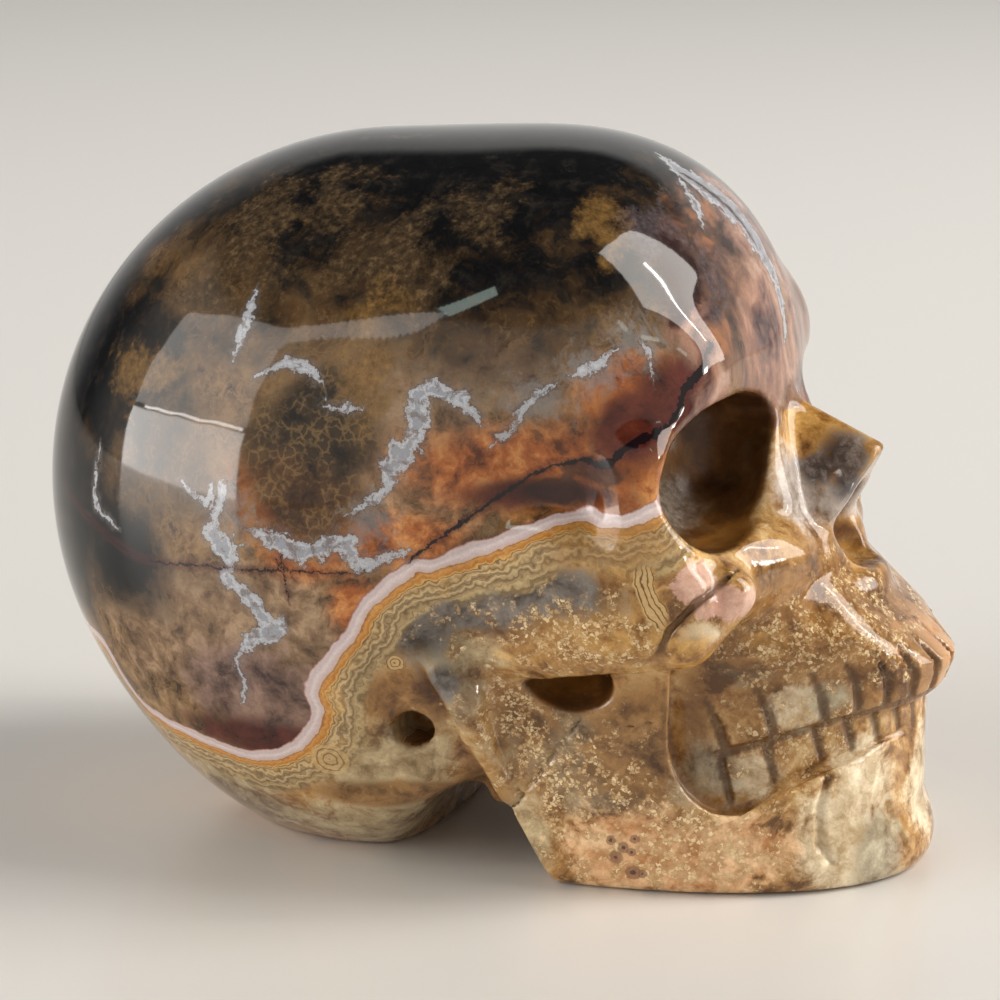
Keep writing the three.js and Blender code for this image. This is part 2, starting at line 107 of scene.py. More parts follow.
def block(x, s, z, centre, half, edge):
    x = np.abs(x - centre[0]) - half[0] + edge
    s = np.abs(s - centre[1]) - half[1] + edge
    z = np.abs(z - centre[2]) - half[2] + edge
    out = np.sqrt(np.maximum(x, 0) ** 2 + np.maximum(s, 0) ** 2 + np.maximum(z, 0) ** 2)
    return out + np.minimum(np.maximum(x, np.maximum(s, z)), 0) - edge


def brow(x, s, z):
    d = rod(x, s, z, (29.2, 5.0, 61.0), (29.8, 17.0, 60.3), 5.0, 4.8)
    return blend(d, rod(x, s, z, (29.8, 17.0, 60.3), (28.0, 26.5, 51.5), 4.8, 3.6), 3.0)


def temple(x, s, z):
    return egg(x, s, z, (19.0, 46.5, 46.0), (11.0, 16.5, 13.0))


def face(x, s, z):
    d = egg(x, s, z, (21.0, 0, 44.0), (17.0, 22.0, 18.0))
    d = blend(d, egg(x, s, z, (28.0, 6.0, 45.0), (10.5, 7.0, 11.0)), 4.0)
    d = blend(d, block(x, s, z, (19.0, 0, 27.0), (12.0, 17.0, 12.0), 4.0), 5.0)
    return blend(d, egg(x, s, z, (25.0, 20.0, 33.0), (8.0, 7.0, 9.0)), 3.0)


def cheek(x, s, z):
    d = rod(x, s, z, (28.0, 26.8, 51.5), (29.5, 27.8, 43.0), 3.6, 4.0)
    d = blend(d, rod(x, s, z, (30.0, 27.0, 41.5), (40.5, 12.0, 38.5), 4.4, 3.4), 3.0)
    d = blend(d, rod(x, s, z, (39.5, 14.0, 37.5), (33.0, 26.0, 32.8), 3.4, 3.2), 4.0)
    d = blend(d, rod(x, s, z, (36.0, 7.5, 52.0), (39.0, 9.0, 41.0), 2.6, 3.8), 3.0)
    d = blend(d, egg(x, s, z, (29.0, 27.6, 37.5), (7.5, 4.6, 9.5), yaw=-22), 3.0)
    return blend(d, rod(x, s, z, (34.4, 27.6, 32.8), (38.4, 25.0, 37.2), 3.3, 3.0), 2.5)


def socket(x, s, z):
    d = egg(x, s, z, (34.4, 19.4, 48.6), (13.0, 7.5, 7.7), yaw=70)
    return blend(d, egg(x, s, z, (37.0, 13.5, 54.2), (12.0, 6.3, 2.7), yaw=14, pitch=4), 5.0)


# Nose
# A short bridge that ends in a blunt wedge, with a rim down each side of a pear-shaped hollow.


def nose(x, s, z):
    ridge = 50.5 + (48.6 - x) * 0.46
    d = keep((z - ridge) * 0.91, (s - 1.0) * 0.82 + (z - ridge) * 0.55, 1.6)
    d = keep(d, (x - 49.9) * 0.864 - (z - 49.8) * 0.504, 0.7)
    d = keep(keep(d, 42.5 - z, 2.0), 33.0 - x, 3.0)
    d = blend(d, rod(x, s, z, (43.8, 4.2, 45.0), (42.5, 6.8, 38.4), 2.2, 2.0), 2.0)
    d = blend(d, rod(x, s, z, (42.5, 6.8, 38.4), (45.0, 5.0, 32.0), 2.0, 3.0), 2.0)
    d = blend(d, egg(x, s, z, (46.2, 0, 33.8), (4.6, 6.5, 3.0)), 2.0)
    return blend(d, rod(x, s, z, (43.6, 8.7, 34.8), (50.7, 9.0, 27.2), 2.0, 1.8), 1.5)


def nose_hollow(x, s, z):
    d = egg(x, s, z, (47.2, 1.4, 38.4), (5.4, 2.6, 3.0))
    return blend(d, egg(x, s, z, (47.4, 0.5, 41.8), (5.0, 1.9, 3.4)), 2.0)


# Arch and ear
# A shelf from the cheekbone back over the ear, undercut so that its lower edge is sharp, the valley behind
# the jaw, and a small hole drilled where the ear would be.


def arch(x, s, z):
    d = egg(x, s, z, (13.0, 27.5, 36.5), (25.0, 6.4, 10.5), yaw=3)
    lip = line(x, 2.0, 31.0, 14.5, 24.4) + line(x, 14.5, 0.0, 20.5, 2.4) + line(x, 20.5, 0.0, 30.0, 1.6)
    return keep(d, lip - z, 0.8)


def ear_valley(x, s, z):
    return rod(x, s, z, (2.5, 37.0, 27.0), (10.5, 31.0, 10.0), 3.4, 4.5)


def crease(x, s, z):
    """The sharp foot of the valley, along the back of the jaw."""
    d = rod(x, s, z, (4.6, 33.8, 27.4), (6.4, 32.0, 23.0), 0.9, 1.4)
    return blend(d, rod(x, s, z, (6.4, 32.0, 23.0), (9.0, 27.0, 15.0), 1.4, 1.2), 0.5)


def ear_hole(x, s, z):
    return rod(x, s, z, (3.0, 26.0, 19.4), (3.0, 40.0, 19.4), 2.1, 2.4)


# Upper jaw
# A wall that follows an oval in plan, with its teeth marked by grooves only. It leans in above the gums and
# again below the line of the bite.
tooth_wall = {"centre": 24.0, "long": 34.6, "wide": 19.4}


def oval_wall(x, s, centre, long, wide, power=2.0):
    u = np.maximum(x - centre, 1e-3) / long
    v = np.maximum(s, 1e-3) / wide
    f = (u**power + v**power) ** (1 / power)
    slope = np.sqrt((u ** (power - 1) / long) ** 2 + (v ** (power - 1) / wide) ** 2) * f ** (1 - power)
    return (f - 1) / np.maximum(slope, 1e-6)


def gum_height(x):
    return line(x, 34.5, 21.6, 52.0, 27.4) + line(x, 52.0, 0.0, 56.0, 0.4)


def bite_height(x):
    return line(x, 34.0, 15.8, 50.0, 20.8) + line(x, 50.0, 0.0, 58.0, 1.0)


def foot_height(x):
    return line(x, 38.0, 10.7, 48.0, 15.4) + line(x, 48.0, 0.0, 55.0, 2.2)


def squareness(z):
    """The power of the oval: two is an ellipse, and the gums are a little squarer."""
    return 2.0 + ramp(z, 25.0, 0.0, 30.0, 0.7)


def tooth_reach(x, z):
    over_bite = z - bite_height(x)
    above_gums = line(z, 25.8, 0.0, 36.0, 12.4)
    below_bite = line(over_bite, 0.0, 0.0, -1.0, 2.0)
    return tooth_wall["long"] - (above_gums + line(over_bite, 3.0, 0.0, 0.0, 1.2) + below_bite)


def upper_jaw(x, s, z):
    wide = tooth_wall["wide"] - ramp(z, 26.0, 0.0, 40.0, 1.0)
    d = oval_wall(x, s, tooth_wall["centre"], tooth_reach(x, z), wide, squareness(z))
    d = keep(d, np.abs(z - 23.0) - 16.0, 3.0)
    return keep(d, 8.0 - x, 1.0)


# Lower jaw
# A second wall outside the first, square at the chin and rising to the arch behind the last tooth, hollow
# between its sides. It isn't loose: the lower teeth are marked on the same wall as the upper ones.


def jaw_wall(x, s, z):
    wide = 23.8 + line(z, 0.0, 0.0, 14.0, 2.2) + line(z, 14.0, 0.0, 28.0, 3.2)
    long = 42.6 - ramp(z, 3.0, 0.0, 10.0, 1.8) - line(z, 12.0, 0.0, 20.0, 1.4)
    return oval_wall(x, s, 14.0, long, wide, 2.2)


def jaw_recess(x, s, z):
    """The round-cornered opening in the side of the jaw that shows the teeth, undercut behind and below."""
    inward = line(s, 18.0, 8.0, 26.0, 0.0)
    floor = 10.7 + line(x, 39.0, 0.0, 54.0, 6.6) - 0.25 * inward * line(x, 36.0, 1.0, 42.0, 0.0)
    rear = 32.1 - 0.4 * inward
    return keep(rear - x, floor - z, 10.6)


def lower_jaw(x, s, z):
    d = keep(keep(jaw_wall(x, s, z), z - 33.0, 1.6), -0.3 - z, 3.0)
    d = carve(d, jaw_recess(x, s, z), 0.6)
    rear = (12.2 - x) * 0.88 + (10.4 - z) * np.where(z < 10.4, 0.44, 0.5)
    return keep(d, rear, 1.0)


def jaw_hinge(x, s, z):
    """The knob under the end of the arch, and the ridge that runs from it down the back of the jaw."""
    d = rod(x, s, z, (7.8, 31.9, 27.2), (9.4, 30.8, 24.2), 2.2, 2.4)
    d = blend(d, rod(x, s, z, (9.4, 30.8, 24.2), (10.0, 28.7, 19.4), 2.2, 1.6), 1.0)
    return blend(d, rod(x, s, z, (10.0, 28.7, 19.4), (12.6, 25.2, 11.5), 1.6, 1.1), 1.0)


def gap_behind_jaw(x, s, z):
    return egg(x, s, z, (9.5, 0, -0.5), (11.5, 60.0, 12.2))


def jaw_hollow(x, s, z):
    return keep(keep(oval_wall(x, s, 10.0, 36.0, 16.0), z - 9.0, 4.0), 6.0 - x, 4.0)


def jaw_notch(x, s, z):
    return egg(x, s, z, (20.8, 30.5, 26.4), (5.4, 9.0, 3.9), pitch=-8)


# Grooves
# Cut with a thin wheel after the forms: across the cheekbone, down the chin and the back of the jaw, along
# the foot of the teeth and the bite, and between the teeth. Each is a run of points with half its width.


def on_teeth(angle, height, above=0.0, half_width=0.5):
    c, n = np.cos(np.radians(angle)), np.sin(np.radians(angle))
    x = tooth_wall["centre"] + (tooth_wall["long"] - 1.2) * c
    z = height(x) + above
    swell = (c ** squareness(z) + n ** squareness(z)) ** (-1 / squareness(z))
    x_on_wall = tooth_wall["centre"] + tooth_reach(x, z) * c * swell
    return (x_on_wall, tooth_wall["wide"] * n * swell, z, half_width)


grooves = [
    [(39.4, 25, 39.9, 0.15), (38, 28, 38.8, 0.4), (36.2, 30.8, 37.2, 0.45), (33.6, 31.6, 34.3, 0.4),
     (32.3, 31.2, 31.2, 0.3)],
    [(47.7, 15.4, 14.2, 0.3), (47.1, 16.2, 10.4, 0.55), (47.3, 16.3, 6.1, 0.6), (48.5, 15.5, 4, 0.5)],
    [(52.9, 9, 12.3, 0.3), (53.3, 8.3, 8.9, 0.45), (55.5, 6.5, 2.7, 0.3)],
    [(22.3, 26.6, 22.2, 0.1), (20, 26.9, 18.8, 0.25), (18.2, 26.1, 16.3, 0.3), (15.4, 25.4, 12.6, 0.3),
     (13, 24.8, 9.2, 0.2)],
    [(11.6, 30.2, 23.4, 0.1), (12.4, 28.2, 19, 0.4), (13.8, 26.2, 13.6, 0.35), (14.4, 25.2, 10.4, 0.1)],
    [(25.2, 26.4, 20.8, 0.1), (27.8, 25.9, 21.2, 0.25), (30.3, 25.4, 21.7, 0.15)],
    [(37.9, 17.7, 10.7, 0.3), (42.5, 15.8, 12.9, 0.3), (47.6, 12.9, 15.3, 0.3), (50.4, 10.8, 16.2, 0.3),
     (54.4, 4.9, 17.5, 0.3)],
    [on_teeth(a, bite_height, 0.0, 0.42) for a in (0, 14, 29.5, 46.5, 58, 70)],
]
for angle in (0, 11, 20.5, 29.5, 38, 46.5, 58, 68):
    lean = line(angle, 0, 0.0, 20, 1.0)
    root = on_teeth(angle + 5 * lean, gum_height, 0.9, 0.2)
    crown = on_teeth(angle + 2.4 * lean, bite_height, 3.4, 0.55)
    grooves.append([root, crown, on_teeth(angle, bite_height, 0.0, 0.5)])
    foot = on_teeth(angle - 2.5 * lean, foot_height, 0.0, 0.35)
    grooves.append([on_teeth(angle, bite_height, -0.9, 0.5), foot])


def grooved(d, x, s, z):
    for points in grooves:
        for a, b in zip(points[:-1], points[1:]):
            low = np.minimum(a, b) - 2.5
            high = np.maximum(a, b) + 2.5
            near = (x > low[0]) & (x < high[0]) & (s > low[1]) & (s < high[1]) & (z > low[2]) & (z < high[2])
            d[near] = carve(d[near], rod(x[near], s[near], z[near], a[:3], b[:3], a[3], b[3]), 0.3)
    return d


# The finished stone
# The forms are joined and cut in the order in which they are carved, and the foot and the jaw are ground
# flat so that the skull stands.


def stone(x, y, z):
    s = np.abs(y)
    d = blend(cranium(x, s, z), brow(x, s, z), 5.0)
    d = carve(d, temple(x, s, z), 6.0)
    d = blend(d, swelling_and_foot(x, s, z), 6.0)
    d = blend(d, face(x, s, z), 4.0)
    d = carve(d, gap_behind_jaw(x, s, z), 5.0)
    d = blend(d, cheek(x, s, z), 2.5)
    d = carve(d, ear_valley(x, s, z), 3.0)
    d = carve(d, crease(x, s, z), 1.2)
    d = blend(d, nose(x, s, z), 2.0)
    d = blend(d, upper_jaw(x, s, z), 3.0)
    d = blend(d, lower_jaw(x, s, z), 1.0)
    d = blend(d, jaw_hinge(x, s, z), 1.2)
    d = carve(d, jaw_notch(x, s, z), 1.0)
    d = blend(d, arch(x, s, z), 0.8)
    d = carve(d, socket(x, s, z), 1.0)
    d = carve(d, nose_hollow(x, s, z), 0.8)
    d = carve(d, jaw_hollow(x, s, z), 3.0)
    d = carve(d, ear_hole(x, s, z), 0.6)
    return keep(grooved(d, x, s, z), -z, 0.5)


def widening(x):
    """How much wider the cells of the net are at x than over the face."""
    return 1 + ramp(x, 12.0, 0.0, -16.0, 1.3)


def lines(start, end, step_at):
    places = [start]
    while places[-1] < end:
        places.append(places[-1] + step_at(places[-1]))
    return np.array(places)


face_cell = 0.575
tooth_cell = 0.46
top_cell = 0.95
net_x = lines(-57.0, 60.5, lambda x: face_cell * widening(x) if x < 32 else tooth_cell)
net_y = lines(face_cell / 2, 40.0, lambda y: face_cell)
net_z = lines(-face_cell * 1.5, 87.0, lambda z: tooth_cell if z < 27 else face_cell if z < 60 else top_cell)
net_y = np.concatenate([-net_y[::-1], net_y])


def net_point(i, j, k):
    """Where the net's line crossings are. Its y and z lines spread out behind the face."""
    x = net_x[i]
    wide = widening(x)
    return np.stack([x, net_y[j] * wide, net_z[k] * wide], -1)


def surface_net():
    """A vertex in each cell that the surface crosses, and a face round each line that it crosses."""
    half = len(net_y) // 2
    size = (len(net_x), half, len(net_z))
    at = np.indices(size).reshape(3, -1)
    x, y, z = net_point(at[0], at[1] + half, at[2]).T
    one_side = stone(x, y, z).reshape(size)
    field = np.concatenate([one_side[:, ::-1], one_side], 1)
    inside = field < 0
    corners = [(i, j, k) for i in (0, 1) for j in (0, 1) for k in (0, 1)]
    count = np.zeros([n - 1 for n in field.shape], np.int8)
    for c in corners:
        count += inside[tuple(slice(o, o + n - 1) for o, n in zip(c, field.shape))]
    crossed = (count > 0) & (count < 8)
    cells = np.argwhere(crossed)
    vertex = np.full(crossed.shape, -1)
    vertex[crossed] = np.arange(len(cells))
    total = np.zeros((len(cells), 3))
    hits = np.zeros(len(cells))
    for a in corners:
        for b in corners:
            if a < b and sum(abs(u - v) for u, v in zip(a, b)) == 1:
                start, end = cells + a, cells + b
                at_start, at_end = field[tuple(start.T)], field[tuple(end.T)]
                cross = (at_start < 0) != (at_end < 0)
                share = np.where(cross, at_start / np.where(cross, at_start - at_end, 1), 0)[:, None]
                point = net_point(*start.T) * (1 - share) + net_point(*end.T) * share
                total += np.where(cross[:, None], point, 0)
                hits += cross
    faces = []
    for axis in range(3):
        u, v = [n for n in range(3) if n != axis]
        low = [slice(1, -1)] * 3
        low[axis] = slice(0, -1)
        high = list(low)
        high[axis] = slice(1, None)
        first = [1, 1, 1]
        first[axis] = 0
        at = np.argwhere(inside[tuple(low)] != inside[tuple(high)]) + first
        du, dv = np.eye(3, dtype=int)[u], np.eye(3, dtype=int)[v]
        ring = np.stack([vertex[tuple((at - o).T)] for o in (0 * du, du, du + dv, dv)], 1)
        outward = inside[tuple(at.T)] == (axis != 1)
        faces.append(np.where(outward[:, None], ring, ring[:, ::-1]))
    return total / hits[:, None], np.concatenate(faces)


def settle(points, rounds=3):
    """Moves points onto the surface of the stone."""
    step = 0.02
    for _ in range(rounds):
        x, y, z = points.T
        d = stone(x, y, z)
        stepped = [stone(x + step, y, z), stone(x, y + step, z), stone(x, y, z + step)]
        slope = np.stack([near - d for near in stepped], 1) / step
        move = np.clip(d / np.maximum((slope * slope).sum(1), 0.1), -face_cell, face_cell)
        points = points - slope * move[:, None]
    return points


def placed(name, data):
    held = bpy.data.objects.new(name, data)
    bpy.context.scene.collection.objects.link(held)
    return held


points, faces = surface_net()
points = settle(points)
points[:, 2] = np.maximum(points[:, 2], 0)
middle = np.array([2.2, 0, 0])  # the part's own origin, in the millimetres of the forms
skull_mesh = bpy.data.meshes.new("skull_stone")
skull_mesh.from_pydata(((points - middle) / 1000).tolist(), [], faces.tolist())
skull_mesh.shade_smooth()
skull = placed("skull_stone", skull_mesh)
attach(skull, "root")
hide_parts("skull")


# Where the markings run
# The band, the veins and the cracks are sheets of other stone that come to the surface as lines. Each line
# is a smooth run of points laid on the stone, and every vertex keeps how far it is from the nearest one and
# on which side, as an attribute that the material reads.


def run(points):
    """A smooth curve laid on the stone: its points, the way it runs at each, and what each carries."""
    given = np.array(points, float)
    given = np.concatenate([2 * given[:1] - given[1:2], given, 2 * given[-1:] - given[-2:-1]])
    spacing = 0.4
    made = []
    for n in range(1, len(given) - 2):
        p0, p1, p2, p3 = given[n - 1:n + 3]
        steps = max(int(np.linalg.norm(p2[:3] - p1[:3]) / spacing), 1)
        for t in np.arange(steps) / steps:
            made.append(0.5 * (2 * p1 + (p2 - p0) * t + (2 * p0 - 5 * p1 + 4 * p2 - p3) * t * t
                               + (3 * p1 - p0 - 3 * p2 + p3) * t**3))
    made = np.array(made + [given[-2]])
    laid = settle(made[:, :3], 5)
    along = np.roll(laid, -1, 0) - np.roll(laid, 1, 0)
    along[0], along[-1] = laid[1] - laid[0], laid[-1] - laid[-2]
    along /= np.maximum(np.linalg.norm(along, axis=1), 1e-6)[:, None]
    return laid, along, made[:, 3:]


def beside(runs):
    """Each vertex's signed and plain distance from the nearest run, and what the run carries there."""
    laid, along, carried = (np.concatenate(part) for part in zip(*runs))
    tree = KDTree(len(laid))
    for n, p in enumerate(laid):
        tree.insert(p, n)
    tree.balance()
    found = [tree.find(p) for p in points]
    nearest = np.array([f[1] for f in found])
    apart = np.array([f[2] for f in found])
    offset = points - laid[nearest]
    side = np.cross(along[nearest], normals)
    forward = np.clip((offset * along[nearest]).sum(1), -0.3, 0.3)
    across = np.sqrt(np.maximum(apart**2 - forward**2, 0)) * np.where((offset * side).sum(1) < 0, -1, 1)
    return across, apart, carried[nearest]


def keep_on_mesh(name, values):
    kind, field = ("FLOAT", "value") if values.ndim == 1 else ("FLOAT_VECTOR", "vector")
    attribute = skull_mesh.attributes.new(name, kind, "POINT")
    attribute.data.foreach_set(field, np.asarray(values, np.float32).ravel())


flat = np.zeros(len(points) * 3, np.float32)
skull_mesh.vertex_normals.foreach_get("vector", flat)
normals = flat.reshape(-1, 3)

# Main band
# A ribbon of white chalcedony, once the lining of a crack, that parts the dark stone of the cranium from the
# banded stone of the face. It goes right round the carving and is lost inside the eye sockets.
band_line = [
    (31.5, 29.8, 49.5, 0.6), (27, 31, 47, 1), (20, 30, 44.5, 1), (14, 32.5, 45, 1), (9, 34.5, 42, 1),
    (4, 36, 37, 1), (0.5, 37, 35.8, 1), (-3, 37, 31, 1), (-9, 36.6, 29, 1), (-13, 35.6, 24, 1),
    (-14.5, 34, 19, 1), (-20, 32, 17, 1), (-27, 30, 18.5, 1), (-34, 27, 20, 1), (-41, 21, 22, 1),
    (-47, 12, 25.5, 1), (-50.5, 2, 28.5, 1), (-48.5, -10, 27.5, 1), (-44, -19, 26, 1),
    (-39.2, -24.6, 24.3, 1), (-36.5, -24.5, 19.6, 1), (-33.1, -25.4, 17.2, 1), (-26.1, -29.1, 16.2, 1),
    (-21.3, -30.6, 15.4, 1), (-17.6, -31.2, 15, 1), (-13.9, -32.1, 15.7, 1), (-11.3, -32.9, 17.2, 1),
    (-8.7, -33.8, 19.6, 1), (-7.9, -34.6, 21.7, 1), (-8.3, -35.4, 24, 1), (-7.5, -35.9, 25.9, 1),
    (-5, -36.5, 29.2, 1), (-2.6, -36.8, 32.2, 1), (-0.8, -37, 35.4, 1), (1.2, -36.8, 37.6, 1),
    (5.2, -36.1, 40.7, 1), (7.6, -35.3, 41.1, 1), (10.7, -33.6, 42.5, 1), (14.2, -32.3, 43.6, 1),
    (17.6, -31.2, 45.1, 1), (21.1, -29.8, 46.2, 1), (23.6, -29.5, 46.7, 1), (25.4, -30.4, 46.7, 1),
    (28.4, -31.4, 46.9, 1), (30.7, -30.6, 47.9, 1), (31.5, -29.8, 48.5, 0.6),
]
lace, _, band_strength = beside([run(band_line)])
band_strength = band_strength[:, 0]
out = np.abs(points[:, 1])
over_nose = 55.2 - 0.223 * out - points[:, 2]
round_side = np.maximum(ramp(out, 24.0, 0.0, 30.0, 1.0), ramp(points[:, 0], 26.0, 0.0, 16.0, 1.0))
lace = lace * round_side + over_nose * (1 - round_side)
band_strength = band_strength * ramp(out, 22.0, 0.0, 29.0, 1.0) ** (points[:, 0] > 20)
keep_on_mesh("lace", lace)

# Veins and cracks
# Pale blue-grey chalcedony that filled short gashes in the cranium, given with half its width, and the dark
# seams that never healed. Those of the far side are of the same make, elsewhere.
veins = [
    [(12.4, -34.6, 56.9, 0.3), (11, -34.8, 58.5, 0.7), (9.2, -34.8, 59.3, 0.8), (7.1, -34.7, 59.7, 0.9),
     (5.8, -34.9, 58.7, 1.1), (5.9, -35.5, 55.9, 1.3), (5.1, -35.9, 53.7, 1.4), (3.3, -36.2, 51.8, 1.2),
     (2.7, -36.5, 49.2, 0.8), (0.8, -36.9, 47.3, 0.5), (-1.3, -37.2, 45.7, 0.2)],
    [(-16.3, -29.1, 68, 0.2), (-16.4, -30.3, 66.3, 0.5), (-16.7, -31.5, 64.2, 0.7),
     (-17.1, -32.5, 62, 0.3)],
    [(-13.3, -34, 60, 0.2), (-12.2, -33.7, 60.7, 0.5), (-10.4, -33.5, 61.5, 0.6), (-7.8, -33.8, 61, 0.6),
     (-6.4, -34.3, 59.8, 0.2)],
    [(-4.4, -35.3, 57.1, 0.2), (-2.8, -35.3, 57.2, 0.4), (-1.3, -35.3, 57.2, 0.2)],
    [(-22, -36.1, 46.8, 0.3), (-20.2, -36.6, 45.9, 0.4), (-18.2, -37.2, 44.2, 0.6),
     (-18.2, -37.3, 42, 1.1), (-16.7, -37.5, 40.1, 1.2), (-15.8, -37.6, 38.5, 0.5),
     (-16.7, -37.4, 37.1, 0.7), (-14.3, -37.5, 35.5, 0.8), (-12.8, -37.4, 33.3, 1.1),
     (-10.9, -37.2, 31.7, 1.3), (-13.8, -36.9, 30.4, 0.9), (-15.4, -36.3, 28.2, 0.4),
     (-16.5, -35.9, 26.9, 0.25), (-15.5, -35.4, 24.5, 0.2), (-16.3, -34.6, 22.3, 0.15)],
    [(-17.1, -37.1, 47, 0.4), (-17.8, -37.2, 44.7, 0.5)],
    [(-13.1, -37.8, 42.9, 0.4), (-10.8, -38, 42.5, 1.1), (-8.3, -38, 41.3, 1.2), (-6.1, -37.9, 41.1, 1),
     (-3.8, -37.7, 42, 0.9), (-1.6, -37.4, 41.7, 1.1), (-0.8, -37.3, 40, 0.8), (1.3, -36.9, 40.4, 0.5),
     (4.2, -36.4, 41.3, 0.5)],
    [(14.6, -33.2, 54.4, 0.5), (15.7, -33.2, 55.3, 0.4), (17.2, -33.4, 57.7, 0.5),
     (18.7, -33.2, 59.3, 0.5), (20, -32.7, 60.4, 0.3)],
    [(23.1, -30.7, 62, 0.4), (24.6, -29.5, 62.6, 0.5), (25.5, -28.5, 63.6, 0.3)],
    [(28.2, -25.5, 64.7, 0.25), (29.2, -25.5, 63, 0.3), (29.5, -25.9, 61.5, 0.2)],
    [(-36.3, -29.7, 48.6, 0.2), (-36.6, -30.2, 42.8, 0.4), (-33.5, -32.1, 40.8, 0.2)],
    [(23.9, -1.9, 81.7, 0.8), (25.9, -2.5, 80.5, 2), (28.1, -1.5, 78.9, 2.9), (30, 0.5, 77.1, 3.1),
     (31.9, 1.2, 74.8, 2.7), (33.7, 1.9, 72.1, 2), (35.1, 2.2, 69.4, 1.4), (36.4, 1.7, 66.5, 1),
     (37.5, 0.5, 62.9, 0.5), (37.8, -0.8, 61.5, 0.2)],
    [(26.6, -5.1, 79.7, 0.4), (28.6, -6.9, 77.7, 0.7), (29.8, -8.5, 76.1, 0.4)],
]
cracks = [
    [(5.4, -36.1, 41, 0.2), (8.8, -34.6, 43.7, 0.2), (12.3, -32.3, 46.4, 0.25),
     (15.6, -30.8, 48.9, 0.25), (18.9, -30.5, 51, 0.25), (23.1, -30.4, 52.1, 0.3),
     (25.9, -30.9, 51.9, 0.5), (28.7, -30.3, 54.3, 0.55), (30.9, -27.9, 55.4, 0.5),
     (32.4, -25.4, 56.9, 0.35), (32.6, -24.3, 58.9, 0.5), (33.7, -22.4, 60.9, 0.5),
     (34.4, -19.8, 63.8, 0.2)],
    [(26.4, -2.5, 80.1, 0.2), (28.8, -1.2, 78.2, 0.35), (31.2, 0.4, 75.8, 0.25), (33.5, 0.7, 72.5, 0.2)],
    [(-43.5, -24.7, 42.7, 0.1), (-36.1, -30.5, 39.7, 0.15), (-28.6, -34.2, 37.6, 0.15),
     (-20.3, -36.8, 38, 0.12), (-9.5, -38, 38.7, 0.1), (-2.1, -37.5, 38.9, 0.1)],
    [(-9.5, -38, 39.8, 0.12), (-8.9, -37.7, 35.7, 0.1)],
]


def elsewhere(points, shift, turn):
    """The same line on the far side of the stone, moved and turned a little in the middle plane."""
    moved = np.array(points, float)
    moved[:, 1] *= -1
    middle_of = moved[:, [0, 2]].mean(0)
    c, n = np.cos(np.radians(turn)), np.sin(np.radians(turn))
    flat_part = (moved[:, [0, 2]] - middle_of) @ np.array([[c, n], [-n, c]])
    moved[:, [0, 2]] = flat_part + middle_of + shift
    return moved


far_veins = [(0, (-14, 4), 40), (1, (20, -4), -30), (4, (14, 8), 150), (6, (-9, 9), -18), (8, (-30, 2), 60)]
veins += [elsewhere(veins[n], shift, turn) for n, shift, turn in far_veins]
cracks += [elsewhere(cracks[0], (-3, 3), -6), elsewhere(cracks[2], (4, 6), 8)]
for name, gashes in (("vein", veins), ("crack", cracks)):
    side, gap, width = beside([run(gash) for gash in gashes])
    keep_on_mesh(name, np.stack([side, gap, width[:, 0]], 1))

